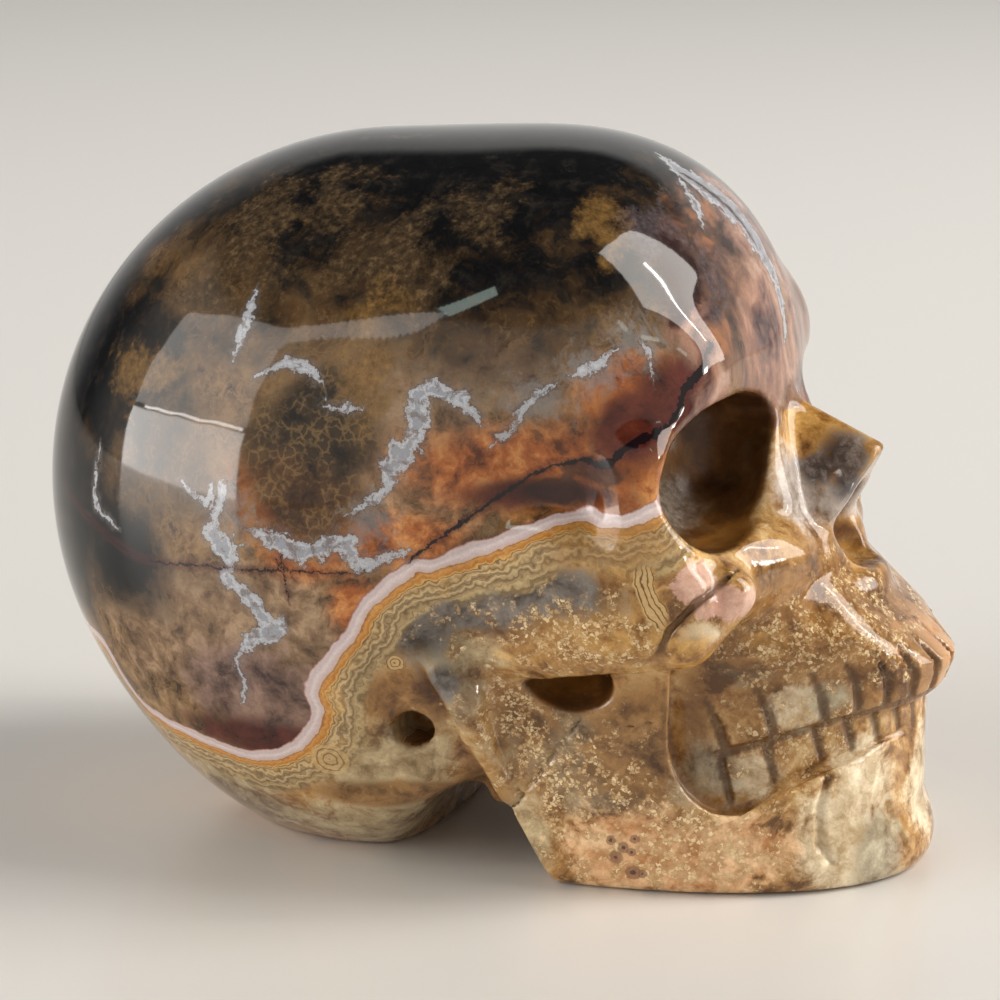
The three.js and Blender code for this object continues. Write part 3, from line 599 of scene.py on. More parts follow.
# Clouds of colour
# Minerals that stained the stone as it grew, and the crystals and fine lines in it, with a few swellings of
# painted shade and painted light among them. Each is a few soft swellings in the block, with its value above
# nought inside them. The far half's lie a little differently.
clouds = {
    "charcoal": [((-2, 0, 90), (60, 80, 29)), ((-50, -8, 54), (34, 40, 24)),
                 ((-44, -26, 42), (14, 14, 14)), ((-33, -31, 38), (9, 8, 7)), ((-6, -36, 56), (5, 6, 5))],
    "net": [((-8, -37, 49), (7, 7, 8)), ((-4, -36, 55), (5, 6, 6))],
    "moss": [((-15, -22, 76), (12, 13, 6)), ((-8, -28, 71), (13, 10, 4)), ((1, -27, 74), (8, 8, 5)),
             ((8, -22, 77), (7, 7, 4)), ((-21, -26, 69), (7, 7, 5)), ((-12, 10, 83), (14, 10, 5))],
    "ochre": [((-33, -29, 58), (4, 4, 5)), ((-28, -31, 59), (5, 4, 2.5)), ((-2, -32, 66), (4, 5, 4)),
              ((0, -34, 61), (2.5, 4, 7)), ((21, -19, 78.5), (1.6, 4, 4)),
              ((23.5, -23, 74), (1.8, 4, 4)), ((38, 1.5, 64), (5, 2, 9))],
    "rust": [((15, -32, 51), (13, 7, 5)), ((24, -31, 51), (9, 7, 6)), ((3, -36, 43), (8, 6, 3)),
             ((28, -28, 59), (6, 6, 5)), ((-7, -38, 41), (5, 5, 3)), ((-1, -37, 35), (3, 5, 4)),
             ((30, -17, 72), (2.5, 4, 6)), ((-9, -37.5, 47), (7, 5, 5))],
    "dusk": [((20, -30, 48.5), (5, 3, 1.6)), ((25, -30, 51), (4, 3, 1.6)), ((30, -18, 71), (2.5, 4, 7))],
    "maroon": [((29, -29, 56), (4.5, 5, 4)), ((31.5, -26, 59), (3.5, 5, 5)),
               ((17, -31, 48), (9, 5, 1.8)), ((-16, -32.5, 17), (10, 5, 2.5))],
    "pink": [((39, -5, 65), (7, 12, 13)), ((34, -22, 58), (4, 5, 5)), ((31, 2, 75), (6, 8, 7)),
             ((33, -19.5, 66), (3.4, 5, 5.5))],
    "cocoa": [((29, -9, 76), (4, 5, 6)), ((32.5, -14, 70), (3, 4, 7)), ((34.5, -16, 64.5), (2.4, 4, 4))],
    "slate": [((33, -14, 70), (2.5, 3, 6)), ((36, -9, 62), (2, 3, 5)), ((27, -17, 75), (3, 4, 4))],
    "mauve": [((31, -13, 74), (4, 6, 7)), ((34, -19, 66), (4, 5, 8)), ((-13, -35, 22), (11, 8, 7))],
    "mist": [((19, -33, 59), (5, 4, 3)), ((24, -30, 62), (5, 4, 3)), ((28, -26, 65), (4, 4, 3)),
             ((1, -37, 45), (4, 4, 3)), ((-15, -36, 44), (3, 4, 4)), ((29, -9, 77.5), (3.5, 4, 5))],
    "quartz": [((17, -34, 38), (12, 5, 3)), ((5, -35.5, 33), (6, 5, 4.8)),
               ((12, -35, 35.5), (8, 5, 3.8)), ((8, -33.5, 26.4), (1.8, 4, 2.2))],
    "tawny": [((47, -7, 33), (10, 13, 8)), ((52, -8, 26), (8, 8, 5)), ((40, -15, 34), (7, 6, 4)),
              ((2, -30, 24), (5, 6, 3))],
    "sand": [((-24, -34, 29), (15, 10, 9)), ((-12, -36, 31), (11, 8, 8)), ((6, -35, 54), (9, 8, 9)),
             ((14, -33, 61), (7, 5, 4))],
    # Ivory is pale stone; the swelling under the foot also lightens its shaded underside as painted light.
    "ivory_and_painted_light": [((1, -31, 14), (9, 6, 7)), ((9, -32, 30), (6, 5, 3)), ((14, -24, 6), (4, 4, 5)),
              ((-22, -26, 11), (9, 6, 3)), ((-3, -22, 5), (11, 12, 5))],
    "milk": [((49, -14, 6), (6, 6, 7)), ((51, -12, 13), (4, 5, 5)), ((44, -15, 22), (3, 4, 3)),
             ((39.5, -17, 14), (2.6, 4, 2.4)), ((36.4, -29.5, 33.8), (2.2, 4, 1.6)),
             ((56, 0, 10), (3, 5, 6))],
    "smoke": [((20, -27, 18), (7, 6, 6)), ((27, -26, 18), (6, 5, 4)), ((24, -25, 12), (7, 5, 3)),
              ((-22, -20, 6), (12, 12, 5)), ((38, -17, 27), (4, 5, 2.5)), ((8, -32, 25), (4, 4, 5))],
    "pewter": [((34.6, -20, 14.4), (3.6, 5, 3.2)), ((47, -13, 23), (2.4, 3, 2.4)),
               ((52.5, -10, 4), (3, 4, 5))],
    # Umber is a brown stain; its swellings on the recess wall and in the crease behind the knob are painted
    # shade.
    "umber_and_shade": [((39, -17, 29.5), (8, 6, 4)), ((33.4, -23, 21), (2.4, 5, 7)), ((22, -26, 25), (4, 6, 3)),
              ((42, -16, 23), (4, 4, 2)), ((29, -26, 18), (7, 5, 8)), ((10, -22, 12), (4, 5, 6)),
              ((16, -27, 21), (4, 4, 3)), ((0, -28.5, 10.6), (9, 6, 1.8)),
              ((6.2, -31.6, 23.5), (1.6, 3, 4))],
    "peach": [((27, -24, 5.5), (8, 6, 5.5)), ((35, -22, 4.5), (9, 6, 5)), ((40, -20.5, 6), (6, 5, 4)),
              ((56, -2, 26), (5, 8, 6))],
    "honey": [((26, -33, 42), (8, 5, 5)), ((41, -1, 53), (5, 6, 3)),
              ((35.4, -29.5, 31.3), (2.6, 4, 2.4)), ((46, 0, 38), (4, 4, 6)),
              ((33.5, -30, 43.5), (5, 4, 3)), ((41, -16.5, 30), (2.4, 3, 1.8)),
              ((27, -33, 34), (9, 5, 5)), ((18, -33, 35.5), (8, 5, 3)), ((22, -31, 30.5), (7, 5, 2))],
    "lilac": [((46.4, -5.7, 44), (3.6, 5, 2.6)), ((42, -8.5, 46), (3, 3.5, 6))],
    "soot": [((45.6, -3, 48.6), (2.8, 5, 3)), ((43.5, -4, 47.5), (3.2, 4, 1.8)),
             ((46.2, -4, 46), (1.8, 3, 2.4))],
    "rose": [((35.6, -30.2, 39), (2.4, 4, 2.3)), ((38.2, -26.8, 36.8), (3.3, 6, 2.1))],
    "gilt": [((27, -33, 43.5), (8, 5, 6))],
    "loop": [((31.2, -32.6, 37.4), (2.7, 6, 3.8))],
    "flecks": [((23, -34, 32.5), (12, 6, 4.4)), ((33, -22, 6), (14, 6, 7)), ((44, -15, 18), (9, 6, 5)),
               ((50, -10, 30), (8, 8, 7)), ((20, -26, 14), (8, 6, 8)), ((42, -16, 30), (8, 6, 5)),
               ((14, -29, 22), (5, 6, 5))],
    "frost": [((27.5, -15, 44), (3.6, 5, 3.6)), ((10, -32, 28), (2.5, 4, 3))],
}
far_half = ramp(points[:, 1], -4.0, 0.0, 12.0, 1.0)
seen = np.stack([points[:, 0] + 3 * far_half, -np.abs(points[:, 1]), points[:, 2] + 2 * far_half], 1)
over_middle = points[:, 1] * (1 - far_half) - np.abs(points[:, 1]) * far_half
brow_top = 60
seen[:, 1] = np.where(points[:, 2] > brow_top, over_middle, seen[:, 1])
for name, swellings in clouds.items():
    value = np.full(len(points), -1.0)
    for centre, radii in swellings:
        apart = np.linalg.norm((seen - centre) / np.array(radii), axis=1)
        value = np.maximum(value, 1 - apart)
    keep_on_mesh(name, value)

# Hollows
# Where a wheel can't reach, the stone is less polished, and brown painted shade lies over it: in the
# sockets, the drilled holes, the grooves between the teeth, and the undercut wall of the recess that shows
# them.


# Painted shade: how much of it lies at a point, from how far inside a carved hollow the point is.
def hollow_shade_in(depth):
    return ramp(depth, 0.4, 0.0, 0.1, 1.0)


x, y, z = points.T
s = np.abs(y)
inside_jaw = ramp(jaw_wall(x, s, z), -0.3, 0.0, -0.9, 1.0)
# Painted shade on the undercut wall behind the opening in the jaw, inside the jaw's wall.
recess_wall_shade = ramp(np.abs(jaw_recess(x, s, z)), 1.1, 0.0, 0.5, 1.0) * inside_jaw
# Where painted shade lies in the hollows, and how strongly.
hollow_shade = np.maximum.reduce([
    hollow_shade_in(socket(x, s, z)),
    hollow_shade_in(jaw_hollow(x, s, z)),
    0.6 * hollow_shade_in(ear_hole(x, s, z)),
    hollow_shade_in(jaw_notch(x, s, z)) * ramp(z, 25.8, 1.0, 26.2, 0.0),
    0.4 * hollow_shade_in(nose_hollow(x, s, z)),
    0.7 * hollow_shade_in(crease(x, s, z)) * ramp(z, 21.0, 0.0, 25.0, 1.0),
    0.8 * recess_wall_shade * ramp(z, 30.0, 0.0, 27.0, 1.0) * ramp(x, 36.0, 1.0, 44.0, 0.0),
])
# The cheek groove and the grooves of the teeth are darkened as painted shade, by how deep a point lies in
# them.
cheek_groove, bite_and_teeth = grooves[0], grooves[7:]
groove_depth = np.full(len(points), 9.0)
for groove in [cheek_groove, *bite_and_teeth]:
    for a, b in zip(groove[:-1], groove[1:]):
        groove_depth = np.minimum(groove_depth, rod(x, s, z, a[:3], b[:3], a[3], b[3]))
groove_shade = ramp(groove_depth, 0.28, 0.0, 0.05, 1.0)
keep_on_mesh("shade_and_band", np.stack([hollow_shade, groove_shade, band_strength], 1))

# The agate
# Crazy lace agate, ground and polished to a gloss. Its colours come from the clouds, roughened at their
# edges by noise, then the lace, the band, the veins and the cracks lie over them in turn.
agate = bpy.data.materials.new("crazy_lace_agate")
agate.use_nodes = True
skull_mesh.materials.append(agate)
nodes, links = agate.node_tree.nodes, agate.node_tree.links
shader = nodes["Principled BSDF"]


def put(value, socket):
    if isinstance(value, bpy.types.NodeSocket):
        links.new(value, socket)
    else:
        socket.default_value = value


def maths(operation, a, b=0.0):
    n = nodes.new("ShaderNodeMath")
    n.operation = operation
    put(a, n.inputs[0])
    put(b, n.inputs[1])
    return n.outputs[0]


def plus(a, b):
    return maths("ADD", a, b)


def times(a, b):
    return maths("MULTIPLY", a, b)


def vectors(operation, a, b=(0, 0, 0), scale=1.0):
    n = nodes.new("ShaderNodeVectorMath")
    n.operation = operation
    put(a, n.inputs[0])
    put(b, n.inputs[1])
    if operation == "SCALE":
        put(scale, n.inputs["Scale"])
    return n.outputs["Value" if operation == "DISTANCE" else "Vector"]


def kept(name):
    n = nodes.new("ShaderNodeAttribute")
    n.attribute_name = name
    return n


def parts_of(vector):
    n = nodes.new("ShaderNodeSeparateXYZ")
    put(vector, n.inputs[0])
    return n.outputs


def noise_at(where, per_mm, detail, rough=0.55):
    n = nodes.new("ShaderNodeTexNoise")
    put(where, n.inputs["Vector"])
    put(per_mm, n.inputs["Scale"])
    put(detail, n.inputs["Detail"])
    put(rough, n.inputs["Roughness"])
    return n.outputs


def noise(where, per_mm, detail=4.0, rough=0.55):
    """A noise that is centred on nought."""
    return maths("SUBTRACT", noise_at(where, per_mm, detail, rough)["Fac"], 0.5)


def sway(per_mm, detail):
    """A wandering direction, to bend a pattern by."""
    return vectors("SUBTRACT", noise_at(mm, per_mm, detail)["Color"], (0.5, 0.5, 0.5))


def shifted(where, shift, size):
    return vectors("ADD", where, vectors("SCALE", shift, scale=size))


def cells(where, per_mm, feature="F1"):
    n = nodes.new("ShaderNodeTexVoronoi")
    n.feature = feature
    put(where, n.inputs["Vector"])
    put(per_mm, n.inputs["Scale"])
    return n


def between(value, low, high):
    """0 below low and 1 above high, smoothly, or the other way round if low is the greater."""
    n = nodes.new("ShaderNodeMapRange")
    n.interpolation_type = "SMOOTHSTEP"
    put(value, n.inputs["Value"])
    falling = low > high
    put(min(low, high), n.inputs["From Min"])
    put(max(low, high), n.inputs["From Max"])
    put(float(falling), n.inputs["To Min"])
    put(float(not falling), n.inputs["To Max"])
    return n.outputs["Result"]


def linear(red, green, blue):
    """A colour given as a screen shows it, from 0 to 255, in the linear values that a material reads."""
    light = [((v / 255 + 0.055) / 1.055) ** 2.4 if v > 10 else v / 3294.6 for v in (red, green, blue)]
    return (*light, 1.0)


def mixed(share, a, b, blend_type="MIX"):
    n = nodes.new("ShaderNodeMix")
    n.data_type, n.blend_type = "RGBA", blend_type
    put(share, n.inputs["Factor"])
    put(a, n.inputs["A"])
    put(b, n.inputs["B"])
    return n.outputs["Result"]


def ramped(value, *stops):
    """A colour that runs through the stops, each being (place, red, green, blue)."""
    n = nodes.new("ShaderNodeValToRGB")
    put(value, n.inputs["Fac"])
    bar = n.color_ramp
    while len(bar.elements) < len(stops):
        bar.elements.new(0.5)
    for element, (place, *shade) in zip(bar.elements, stops):
        element.position, element.color = place, linear(*shade)
    return n.outputs["Color"]


mm = vectors("SCALE", nodes.new("ShaderNodeTexCoord").outputs["Object"], scale=1000.0)
bend = sway(0.11, 3.0)
wander = shifted(mm, bend, 6.0)
small_bend = sway(0.9, 3.0)
ragged = shifted(wander, small_bend, 0.9)

coarse = noise(wander, 0.09, 5.0, 0.6)
medium = noise(ragged, 0.3, 6.0, 0.65)
fine = noise(mm, 1.1, 5.0, 0.7)
grit = noise(mm, 3.5, 3.0, 0.7)
threads = between(maths("ABSOLUTE", noise(ragged, 0.42, 5.0, 0.6)), 0.05, 0.0)
edge = plus(times(coarse, 1.5), times(medium, 1.3))


def shades(value, *stops):
    """The colours of a ramp, for a noise, which is centred on nought."""
    return ramped(plus(value, 0.5), *stops)


def cloud(name, soft=0.25, share=1.0, rough_edge=edge, bias=0.0):
    inside = between(plus(kept(name).outputs["Fac"], rough_edge), -soft - bias, soft - bias)
    return times(inside, share)


# Cranium stone
cap = shades(medium, (0.34, 62, 44, 28), (0.5, 122, 92, 60), (0.66, 168, 134, 92))
cap = mixed(times(threads, 0.3), cap, linear(166, 134, 92))
sand = shades(medium, (0.36, 80, 60, 46), (0.5, 132, 106, 82), (0.64, 176, 148, 120))
cap = mixed(cloud("sand", share=0.75), cap, sand)
rust = shades(medium, (0.35, 92, 42, 16), (0.5, 172, 94, 40), (0.65, 220, 150, 84))
cap = mixed(cloud("rust", 0.45, 0.85, times(medium, 1.5)), cap, rust)
coal = shades(medium, (0.32, 5, 6, 8), (0.52, 15, 15, 17), (0.72, 44, 39, 34))
cap = mixed(cloud("charcoal", 0.4), cap, coal)
blots = plus(times(noise(ragged, 0.16, 6.0, 0.6), 5.0), times(fine, 1.2))
moss = shades(fine, (0.3, 42, 33, 24), (0.5, 72, 57, 40), (0.7, 116, 94, 66))
cap = mixed(cloud("moss", 0.6, 0.85, blots, -0.42), cap, moss)
cap = mixed(cloud("net", 0.35, 0.9), cap, shades(medium, (0.3, 26, 23, 19), (0.7, 76, 60, 42)))
net_gap = cells(shifted(mm, small_bend, 1.6), 0.8, "DISTANCE_TO_EDGE").outputs["Distance"]
net_lines = times(between(net_gap, 0.16, 0.0), between(medium, -0.1, 0.1))
cap = mixed(times(times(net_lines, cloud("net", 0.3)), 0.55), cap, linear(140, 110, 70))
wisps = noise(ragged, 0.8, 6.0, 0.7)
cap = mixed(cloud("mist", 0.6, 0.55, times(wisps, 4.0), -0.35), cap, linear(128, 128, 128))
streaks = noise(vectors("MULTIPLY", wander, (1.0, 0.5, 0.16)), 0.5, 4.0, 0.5)
pink = shades(streaks, (0.34, 70, 44, 42), (0.44, 126, 92, 80), (0.56, 164, 124, 104), (0.7, 190, 158, 138))
cap = mixed(cloud("mauve", share=0.75), cap, shades(medium, (0.36, 54, 38, 42), (0.64, 134, 106, 98)))
cap = mixed(cloud("pink", 0.5), cap, pink)
cocoa = shades(streaks, (0.36, 42, 28, 24), (0.5, 86, 62, 48), (0.64, 150, 100, 66))
cap = mixed(cloud("cocoa", 0.4, 0.85), cap, cocoa)
cap = mixed(cloud("slate", 0.6, 0.7, blots, -0.2), cap, shades(fine, (0.3, 44, 36, 40), (0.7, 106, 94, 96)))
ochre = shades(fine, (0.3, 84, 62, 34), (0.7, 156, 118, 64))
cap = mixed(cloud("ochre", 0.6, 0.6, blots, -0.3), cap, ochre)
cap = mixed(cloud("maroon", 0.4, 0.92), cap, shades(medium, (0.32, 26, 8, 9), (0.7, 96, 36, 28)))
cap = mixed(cloud("dusk", 0.3, 0.85, times(medium, 2.5)), cap, linear(40, 22, 20))

# Face stone
under = shades(
    medium, (0.34, 102, 70, 38), (0.46, 164, 120, 70), (0.56, 198, 158, 102), (0.7, 230, 202, 152),
)
for name, dark, light, amount, soft in (
    ("smoke", (86, 70, 52), (172, 154, 124), 0.85, 0.4),
    # Ivory: pale stone, and painted light on the shaded underside of the foot.
    ("ivory_and_painted_light", (132, 110, 76), (204, 186, 148), 0.85, 0.3),
    # Umber: brown stain, and painted shade on the recess wall and in the crease behind the knob.
    ("umber_and_shade", (72, 45, 20), (160, 114, 62), 0.85, 0.3),
    ("milk", (184, 158, 116), (250, 236, 206), 0.85, 0.3),
    ("peach", (196, 134, 80), (250, 212, 166), 0.9, 0.2),
    ("tawny", (86, 53, 24), (176, 128, 76), 0.9, 0.4),
    ("honey", (124, 78, 27), (224, 174, 98), 0.9, 0.4),
    ("lilac", (136, 124, 116), (208, 196, 186), 0.9, 0.4),
    ("rose", (188, 142, 122), (220, 182, 162), 0.95, 0.1),
    ("pewter", (104, 94, 76), (190, 178, 150), 0.85, 0.4),
    ("quartz", (46, 43, 41), (126, 119, 113), 0.95, 0.4),
):
    stained = shades(medium, (0.36, *dark), (0.64, *light))
    under = mixed(cloud(name, soft, amount, times(medium, 2.0)), under, stained)
tiny_bend = sway(3.2, 2.0)
grain_place = shifted(shifted(mm, small_bend, 0.8), tiny_bend, 0.5)
crystal = cells(grain_place, 2.1)
crystal_tone, crystal_kept, _ = parts_of(crystal.outputs["Color"])
crystal_gap = cells(grain_place, 2.1, "DISTANCE_TO_EDGE").outputs["Distance"]
patches = plus(times(noise(mm, 0.5, 4.0), 5.0), times(grit, 0.6))
clusters = cloud("flecks", 0.5, 0.95, patches, -0.25)
under = mixed(times(clusters, 0.4), under, linear(130, 90, 46))
clusters = times(clusters, between(crystal_kept, 0.3, 0.45))
crystals = mixed(crystal_tone, linear(180, 138, 84), linear(242, 218, 172))
under = mixed(times(clusters, between(crystal_gap, 0.0, 0.16)), under, crystals)
soot_edge = times(medium, 3.0)
soot = shades(medium, (0.35, 34, 32, 36), (0.5, 74, 68, 68), (0.65, 140, 126, 120))
under = mixed(cloud("soot", 0.4, 0.92, soot_edge), under, soot)

# Spots of iron in the jaw, and pits near its hinge
spots = [(24.8, -24.3, 6.7, 0.5), (26.2, -24, 5.9, 0.6), (27.5, -23.9, 7, 0.5), (27.1, -23.8, 5.3, 0.5),
         (25.3, -23.9, 4.6, 0.7), (27.2, -23.4, 2.8, 0.8), (28.3, -23.2, 2.7, 0.5),
         (8.2, -33, 25.8, 0.35), (9.8, -32.8, 26.2, 0.4), (9.2, -32.8, 23.8, 0.4),
         (11.4, -34.3, 33.8, 0.3), (4.6, -35.4, 31.4, 0.3)]
for *spot, size in spots:
    apart = vectors("DISTANCE", mm, tuple(np.array(spot) - middle))
    apart = plus(apart, times(fine, 0.9))
    under = mixed(times(between(apart, size * 1.3, size), 0.7), under, linear(126, 84, 62))
    under = mixed(times(between(apart, size * 0.5, size * 0.3), 0.8), under, linear(58, 34, 28))

# Lace
lace_depth = kept("lace").outputs["Fac"]
into_lace = between(lace_depth, 1.9, 3.3)
scallops = cells(wander, 0.45, "SMOOTH_F1").outputs["Distance"]
notches = cells(mm, 1.2).outputs["Distance"]
wave = plus(times(noise(mm, 0.35, 3.0), 2.0), times(scallops, 1.3))
toothed = plus(plus(lace_depth, times(wave, into_lace)), times(notches, 0.8))
lace_tone = ramped(
    maths("DIVIDE", toothed, 12.0),
    (0.0, 150, 96, 52), (0.15, 164, 100, 46), (0.2, 206, 148, 76), (0.245, 180, 116, 50),
    (0.28, 218, 172, 98), (0.29, 86, 52, 26), (0.305, 206, 176, 128), (0.345, 144, 114, 72),
    (0.385, 208, 180, 132), (0.425, 122, 98, 66), (0.465, 200, 174, 130), (0.505, 132, 108, 74),
    (0.56, 192, 166, 120), (0.62, 120, 98, 66), (0.68, 186, 158, 110), (0.78, 150, 120, 76),
)
hair = maths("PINGPONG", toothed, 0.3)
hairs = times(between(hair, 0.1, 0.02), between(toothed, 3.4, 3.7))
hairs = times(hairs, between(noise(mm, 0.5, 2.0), -0.2, 0.1))
lace_tone = mixed(times(hairs, 0.55), lace_tone, linear(92, 70, 42))
lace_tone = mixed(times(between(medium, 0.05, 0.2), 0.4), lace_tone, linear(228, 178, 104))
lace_tone = mixed(times(between(fine, -0.04, -0.2), 0.4), lace_tone, linear(104, 70, 38))
gilt = shades(medium, (0.35, 112, 78, 38), (0.65, 172, 126, 70))
lace_tone = mixed(cloud("gilt", 0.5, 0.55), lace_tone, gilt)
# The painted shade of the hollows and of the grooves, and the strength of the band.
hollow_shade_share, groove_shade_share, band_share = parts_of(kept("shade_and_band").outputs["Vector"])
lace_share = times(between(plus(lace_depth, times(edge, 3.5)), 7.0, 5.8), band_share)
lower = mixed(lace_share, under, lace_tone)
loop_share = cloud("loop", 0.2, 0.9, times(medium, 0.4))
for centre, inner, outer, ring, share in (
    ((2.1, -33.4, 28.0), -1.0, 1.25, 0.26, 0.9),
    ((-6.7, -31.8, 15.1), -1.0, 2.4, 0.4, 0.6),
    ((38.4, -29.5, 41.0), 7.0, 9.4, 0.3, loop_share),
):
    apart = vectors("DISTANCE", mm, tuple(np.array(centre) - middle))
    bent = plus(apart, times(noise(mm, 0.7, 2.0), 1.0))
    stripe = between(maths("PINGPONG", bent, ring), ring * 0.4, ring * 0.1)
    rings = mixed(stripe, linear(204, 170, 116), linear(106, 74, 38))
    within = times(between(bent, outer, outer - 0.25), between(bent, inner, inner + 0.25))
    lower = mixed(times(within, share), lower, rings)

# Above and below the band
line_wave = plus(lace_depth, plus(times(noise(mm, 0.35, 2.0), 1.1), times(fine, 0.5)))
colour = mixed(between(line_wave, 0.7, 0.9), cap, lower)
band_tone = ramped(
    maths("DIVIDE", line_wave, 1.8), (0.0, 140, 92, 84), (0.12, 208, 186, 180), (0.3, 198, 182, 182),
    (0.5, 220, 204, 200), (0.7, 204, 186, 186), (0.9, 206, 176, 156), (0.97, 116, 76, 44),
)
in_band = times(between(line_wave, -0.08, 0.03), between(line_wave, 1.8, 1.7))
colour = mixed(times(in_band, band_share), colour, band_tone)


def seam(name, wobble, slack, uneven):
    side, gap, width = parts_of(kept(name).outputs["Vector"])
    off = plus(side, times(noise(mm, 0.8, 6.0, 0.7), wobble))
    reach = times(width, plus(1.0, times(noise(mm, 0.6, 4.0), uneven)))
    return maths("SUBTRACT", maths("MAXIMUM", maths("ABSOLUTE", off), maths("SUBTRACT", gap, slack)), reach)


vein = plus(seam("vein", 2.0, 1.0, 3.0), plus(times(fine, 1.3), times(grit, 0.5)))
frayed = between(wisps, -0.16, 0.02)
colour = mixed(times(times(between(vein, 1.0, 0.0), frayed), 0.35), colour, linear(116, 112, 110))
vein_outline = between(maths("ABSOLUTE", maths("SUBTRACT", vein, 0.12)), 0.14, 0.0)
colour = mixed(times(vein_outline, 0.45), colour, linear(58, 48, 46))
vein_tone = ramped(
    times(vein, -1.0), (0.0, 118, 110, 112), (0.1, 186, 188, 194), (0.3, 164, 168, 176),
    (0.5, 196, 198, 204), (0.8, 150, 154, 162),
)
vein_tone = mixed(between(wisps, 0.0, -0.1), vein_tone, linear(124, 118, 118))
vein_tone = mixed(times(between(fine, 0.08, 0.2), 0.6), vein_tone, linear(214, 212, 214))
colour = mixed(times(between(vein, 0.1, -0.12), 0.9), colour, vein_tone)
crack = plus(seam("crack", 1.6, 0.7, 3.0), times(grit, 0.5))
colour = mixed(times(between(crack, 0.7, 0.0), 0.5), colour, linear(74, 30, 28))
colour = mixed(between(crack, 0.06, -0.1), colour, linear(24, 12, 14))

# Painted shade in the hollows: brown, with grey crystals of the stone showing in a few places.
hollow_shade_tone = shades(coarse, (0.36, 24, 13, 7), (0.5, 82, 47, 16), (0.64, 140, 92, 36))
hollow_shade_tone = mixed(cloud("frost", 0.5, 0.9), hollow_shade_tone, shades(fine, (0.34, 54, 48, 42), (0.66, 150, 142, 134)))
colour = mixed(times(hollow_shade_share, 0.9), colour, hollow_shade_tone)
# Painted shade in the grooves.
colour = mixed(times(groove_shade_share, 0.72), colour, linear(86, 56, 28))
grain = plus(1.0, times(grit, 0.5))
grey_grain = nodes.new("ShaderNodeCombineColor")
for channel in grey_grain.inputs:
    put(grain, channel)
colour = mixed(1.0, colour, grey_grain.outputs[0], "MULTIPLY")
put(colour, shader.inputs["Base Color"])
on_face = between(lace_depth, -1.0, 4.0)
gloss = plus(plus(0.05, times(hollow_shade_share, 0.25)), times(on_face, 0.04))
put(gloss, shader.inputs["Roughness"])
ripple = nodes.new("ShaderNodeBump")
put(0.001, ripple.inputs["Distance"])
put(0.5, ripple.inputs["Strength"])
ripples = plus(times(noise(mm, 0.4, 1.0), 0.12), times(noise(mm, 1.6, 2.0), 0.02))
put(times(ripples, plus(on_face, hollow_shade_share)), ripple.inputs["Height"])
put(ripple.outputs["Normal"], shader.inputs["Normal"])
put(1.47, shader.inputs["IOR"])

# Table and light
# A plain pale table top under the skull, in a pale room. A large soft window stands to the right, past the
# face, and a weaker one in front on the left, each in a few panes, with two small lamps above.
floor_mesh = bpy.data.meshes.new("floor")
table_half = 3.0
corners = [(a * table_half, b * table_half, 0) for a, b in ((-1, -1), (1, -1), (1, 1), (-1, 1))]
floor_mesh.from_pydata(corners, [], [(0, 1, 2, 3)])
floor = placed("floor", floor_mesh)
floor_paint = bpy.data.materials.new("table_top")
floor_paint.use_nodes = True
floor_mesh.materials.append(floor_paint)
floor_shader = floor_paint.node_tree.nodes["Principled BSDF"]
put((0.76, 0.74, 0.71, 1), floor_shader.inputs["Base Color"])
put(0.3, floor_shader.inputs["Roughness"])

camera_data = bpy.data.cameras.new("camera")
camera = placed("camera", camera_data)
bpy.context.scene.camera = camera
azimuth, elevation = np.radians(20.0), np.radians(13.0)
outward = np.cos(elevation)
back = Vector((np.sin(azimuth) * outward, -np.cos(azimuth) * outward, np.sin(elevation)))
right = Vector((np.cos(azimuth), np.sin(azimuth), 0))
looked_at = Vector((0.0003, 0, 0.0395))
distance = 0.36
camera.location = looked_at + back * distance
camera.rotation_mode = "QUATERNION"
camera.rotation_quaternion = Matrix((right, back.cross(right), back)).transposed().to_quaternion()
camera_data.sensor_width = 36
camera_data.lens = camera_data.sensor_width * 2.96
camera_data.clip_start = 0.01

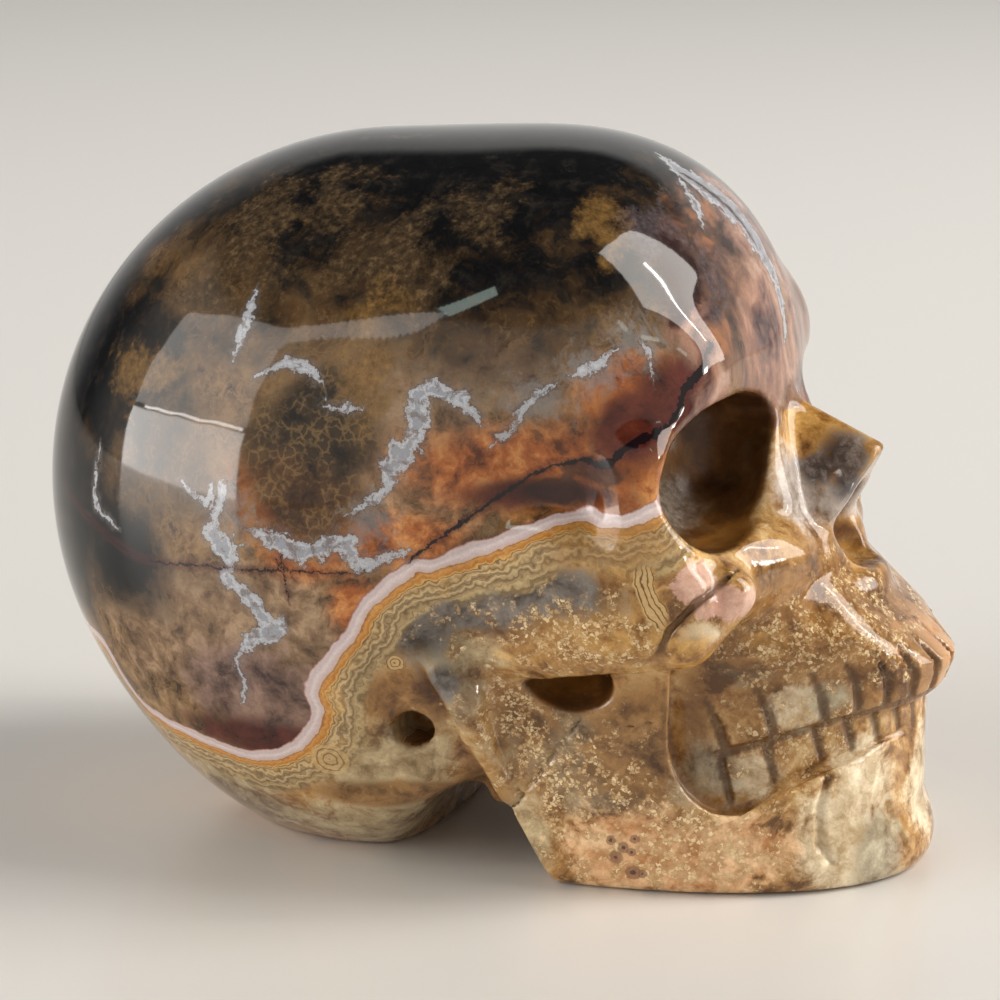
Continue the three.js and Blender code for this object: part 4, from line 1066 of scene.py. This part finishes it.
world = bpy.data.worlds.new("room")
bpy.context.scene.world = world
world.use_nodes = True
nodes, links = world.node_tree.nodes, world.node_tree.links
sky = nodes["Background"]
way_x, way_y, way_z = parts_of(nodes.new("ShaderNodeTexCoord").outputs["Generated"])
backdrop = times(between(way_y, 0.3, 0.95), between(way_z, 0.66, 0.56))
room = times(between(way_y, 0.3, -0.2), between(way_z, 0.68, 0.6))
dim = mixed(room, (0.05, 0.05, 0.05, 1), (0.6, 0.58, 0.55, 1))
put(mixed(backdrop, dim, (0.72, 0.705, 0.68, 1)), sky.inputs["Color"])
put(1.0, sky.inputs["Strength"])
bpy.context.scene.view_settings.view_transform = "Standard"


def way_to(azimuth, elevation):
    """A direction from the skull, with azimuth 0 square to the side that the camera sees."""
    a, e = np.radians(azimuth), np.radians(elevation)
    return Vector((np.sin(a) * np.cos(e), -np.cos(a) * np.cos(e), np.sin(e)))


def pane(name, place, normal, width, height, radiance, tint, roll=0.0):
    light = bpy.data.lights.new(name, "AREA")
    light.shape, light.size, light.size_y = "RECTANGLE", width, height
    light.energy, light.color = radiance * np.pi * width * height, tint
    held = placed(name, light)
    held.location = Vector((0, 0, 0.04)) + place
    held.rotation_mode = "QUATERNION"
    held.rotation_quaternion = Quaternion(normal, np.radians(roll)) @ normal.to_track_quat("Z", "Y")


def window(name, facing, distance, left, right, low, high, radiance, tint):
    """A pane in an upright wall, with its sides given by azimuth, and its sill and head by elevation."""
    left, right = (np.tan(np.radians(side - facing)) * distance for side in (left, right))
    low, high = (np.tan(np.radians(level)) * distance for level in (low, high))
    towards, along = way_to(facing, 0), way_to(facing + 90, 0)
    place = towards * distance + along * (left + right) / 2 + Vector((0, 0, (low + high) / 2))
    pane(name, place, towards, right - left, high - low, radiance, tint)


window("right_window", 80, 1.3, 88, 125, 10, 66, 7.2, (1.0, 0.955, 0.9))
window("right_gap", 80, 1.25, 105, 106.6, 34, 50, 36, (1.0, 0.95, 0.88))
window("right_sun", 80, 1.25, 90, 94, 8, 12, 40, (1.0, 0.95, 0.88))
window("left_window_top", -30, 1.2, -79, -37, 16, 43, 2.6, (1.0, 0.97, 0.94))
window("left_window_foot", -30, 1.2, -79, -37, -3, 14.5, 7.6, (1.0, 0.96, 0.92))
window("left_window_bar", -30, 1.19, -74, -38, 15.0, 15.7, 16, (1.0, 0.96, 0.92))
overhead = way_to(-31, 49.5)
pane("overhead", overhead * 0.9, overhead, 0.25, 0.075, 4.0, (0.8, 1.0, 0.9), roll=54)
lamp = way_to(72, 31)
pane("lamp", lamp * 0.9, lamp, 0.1, 0.03, 4.0, (0.85, 1.0, 0.92), roll=-60)
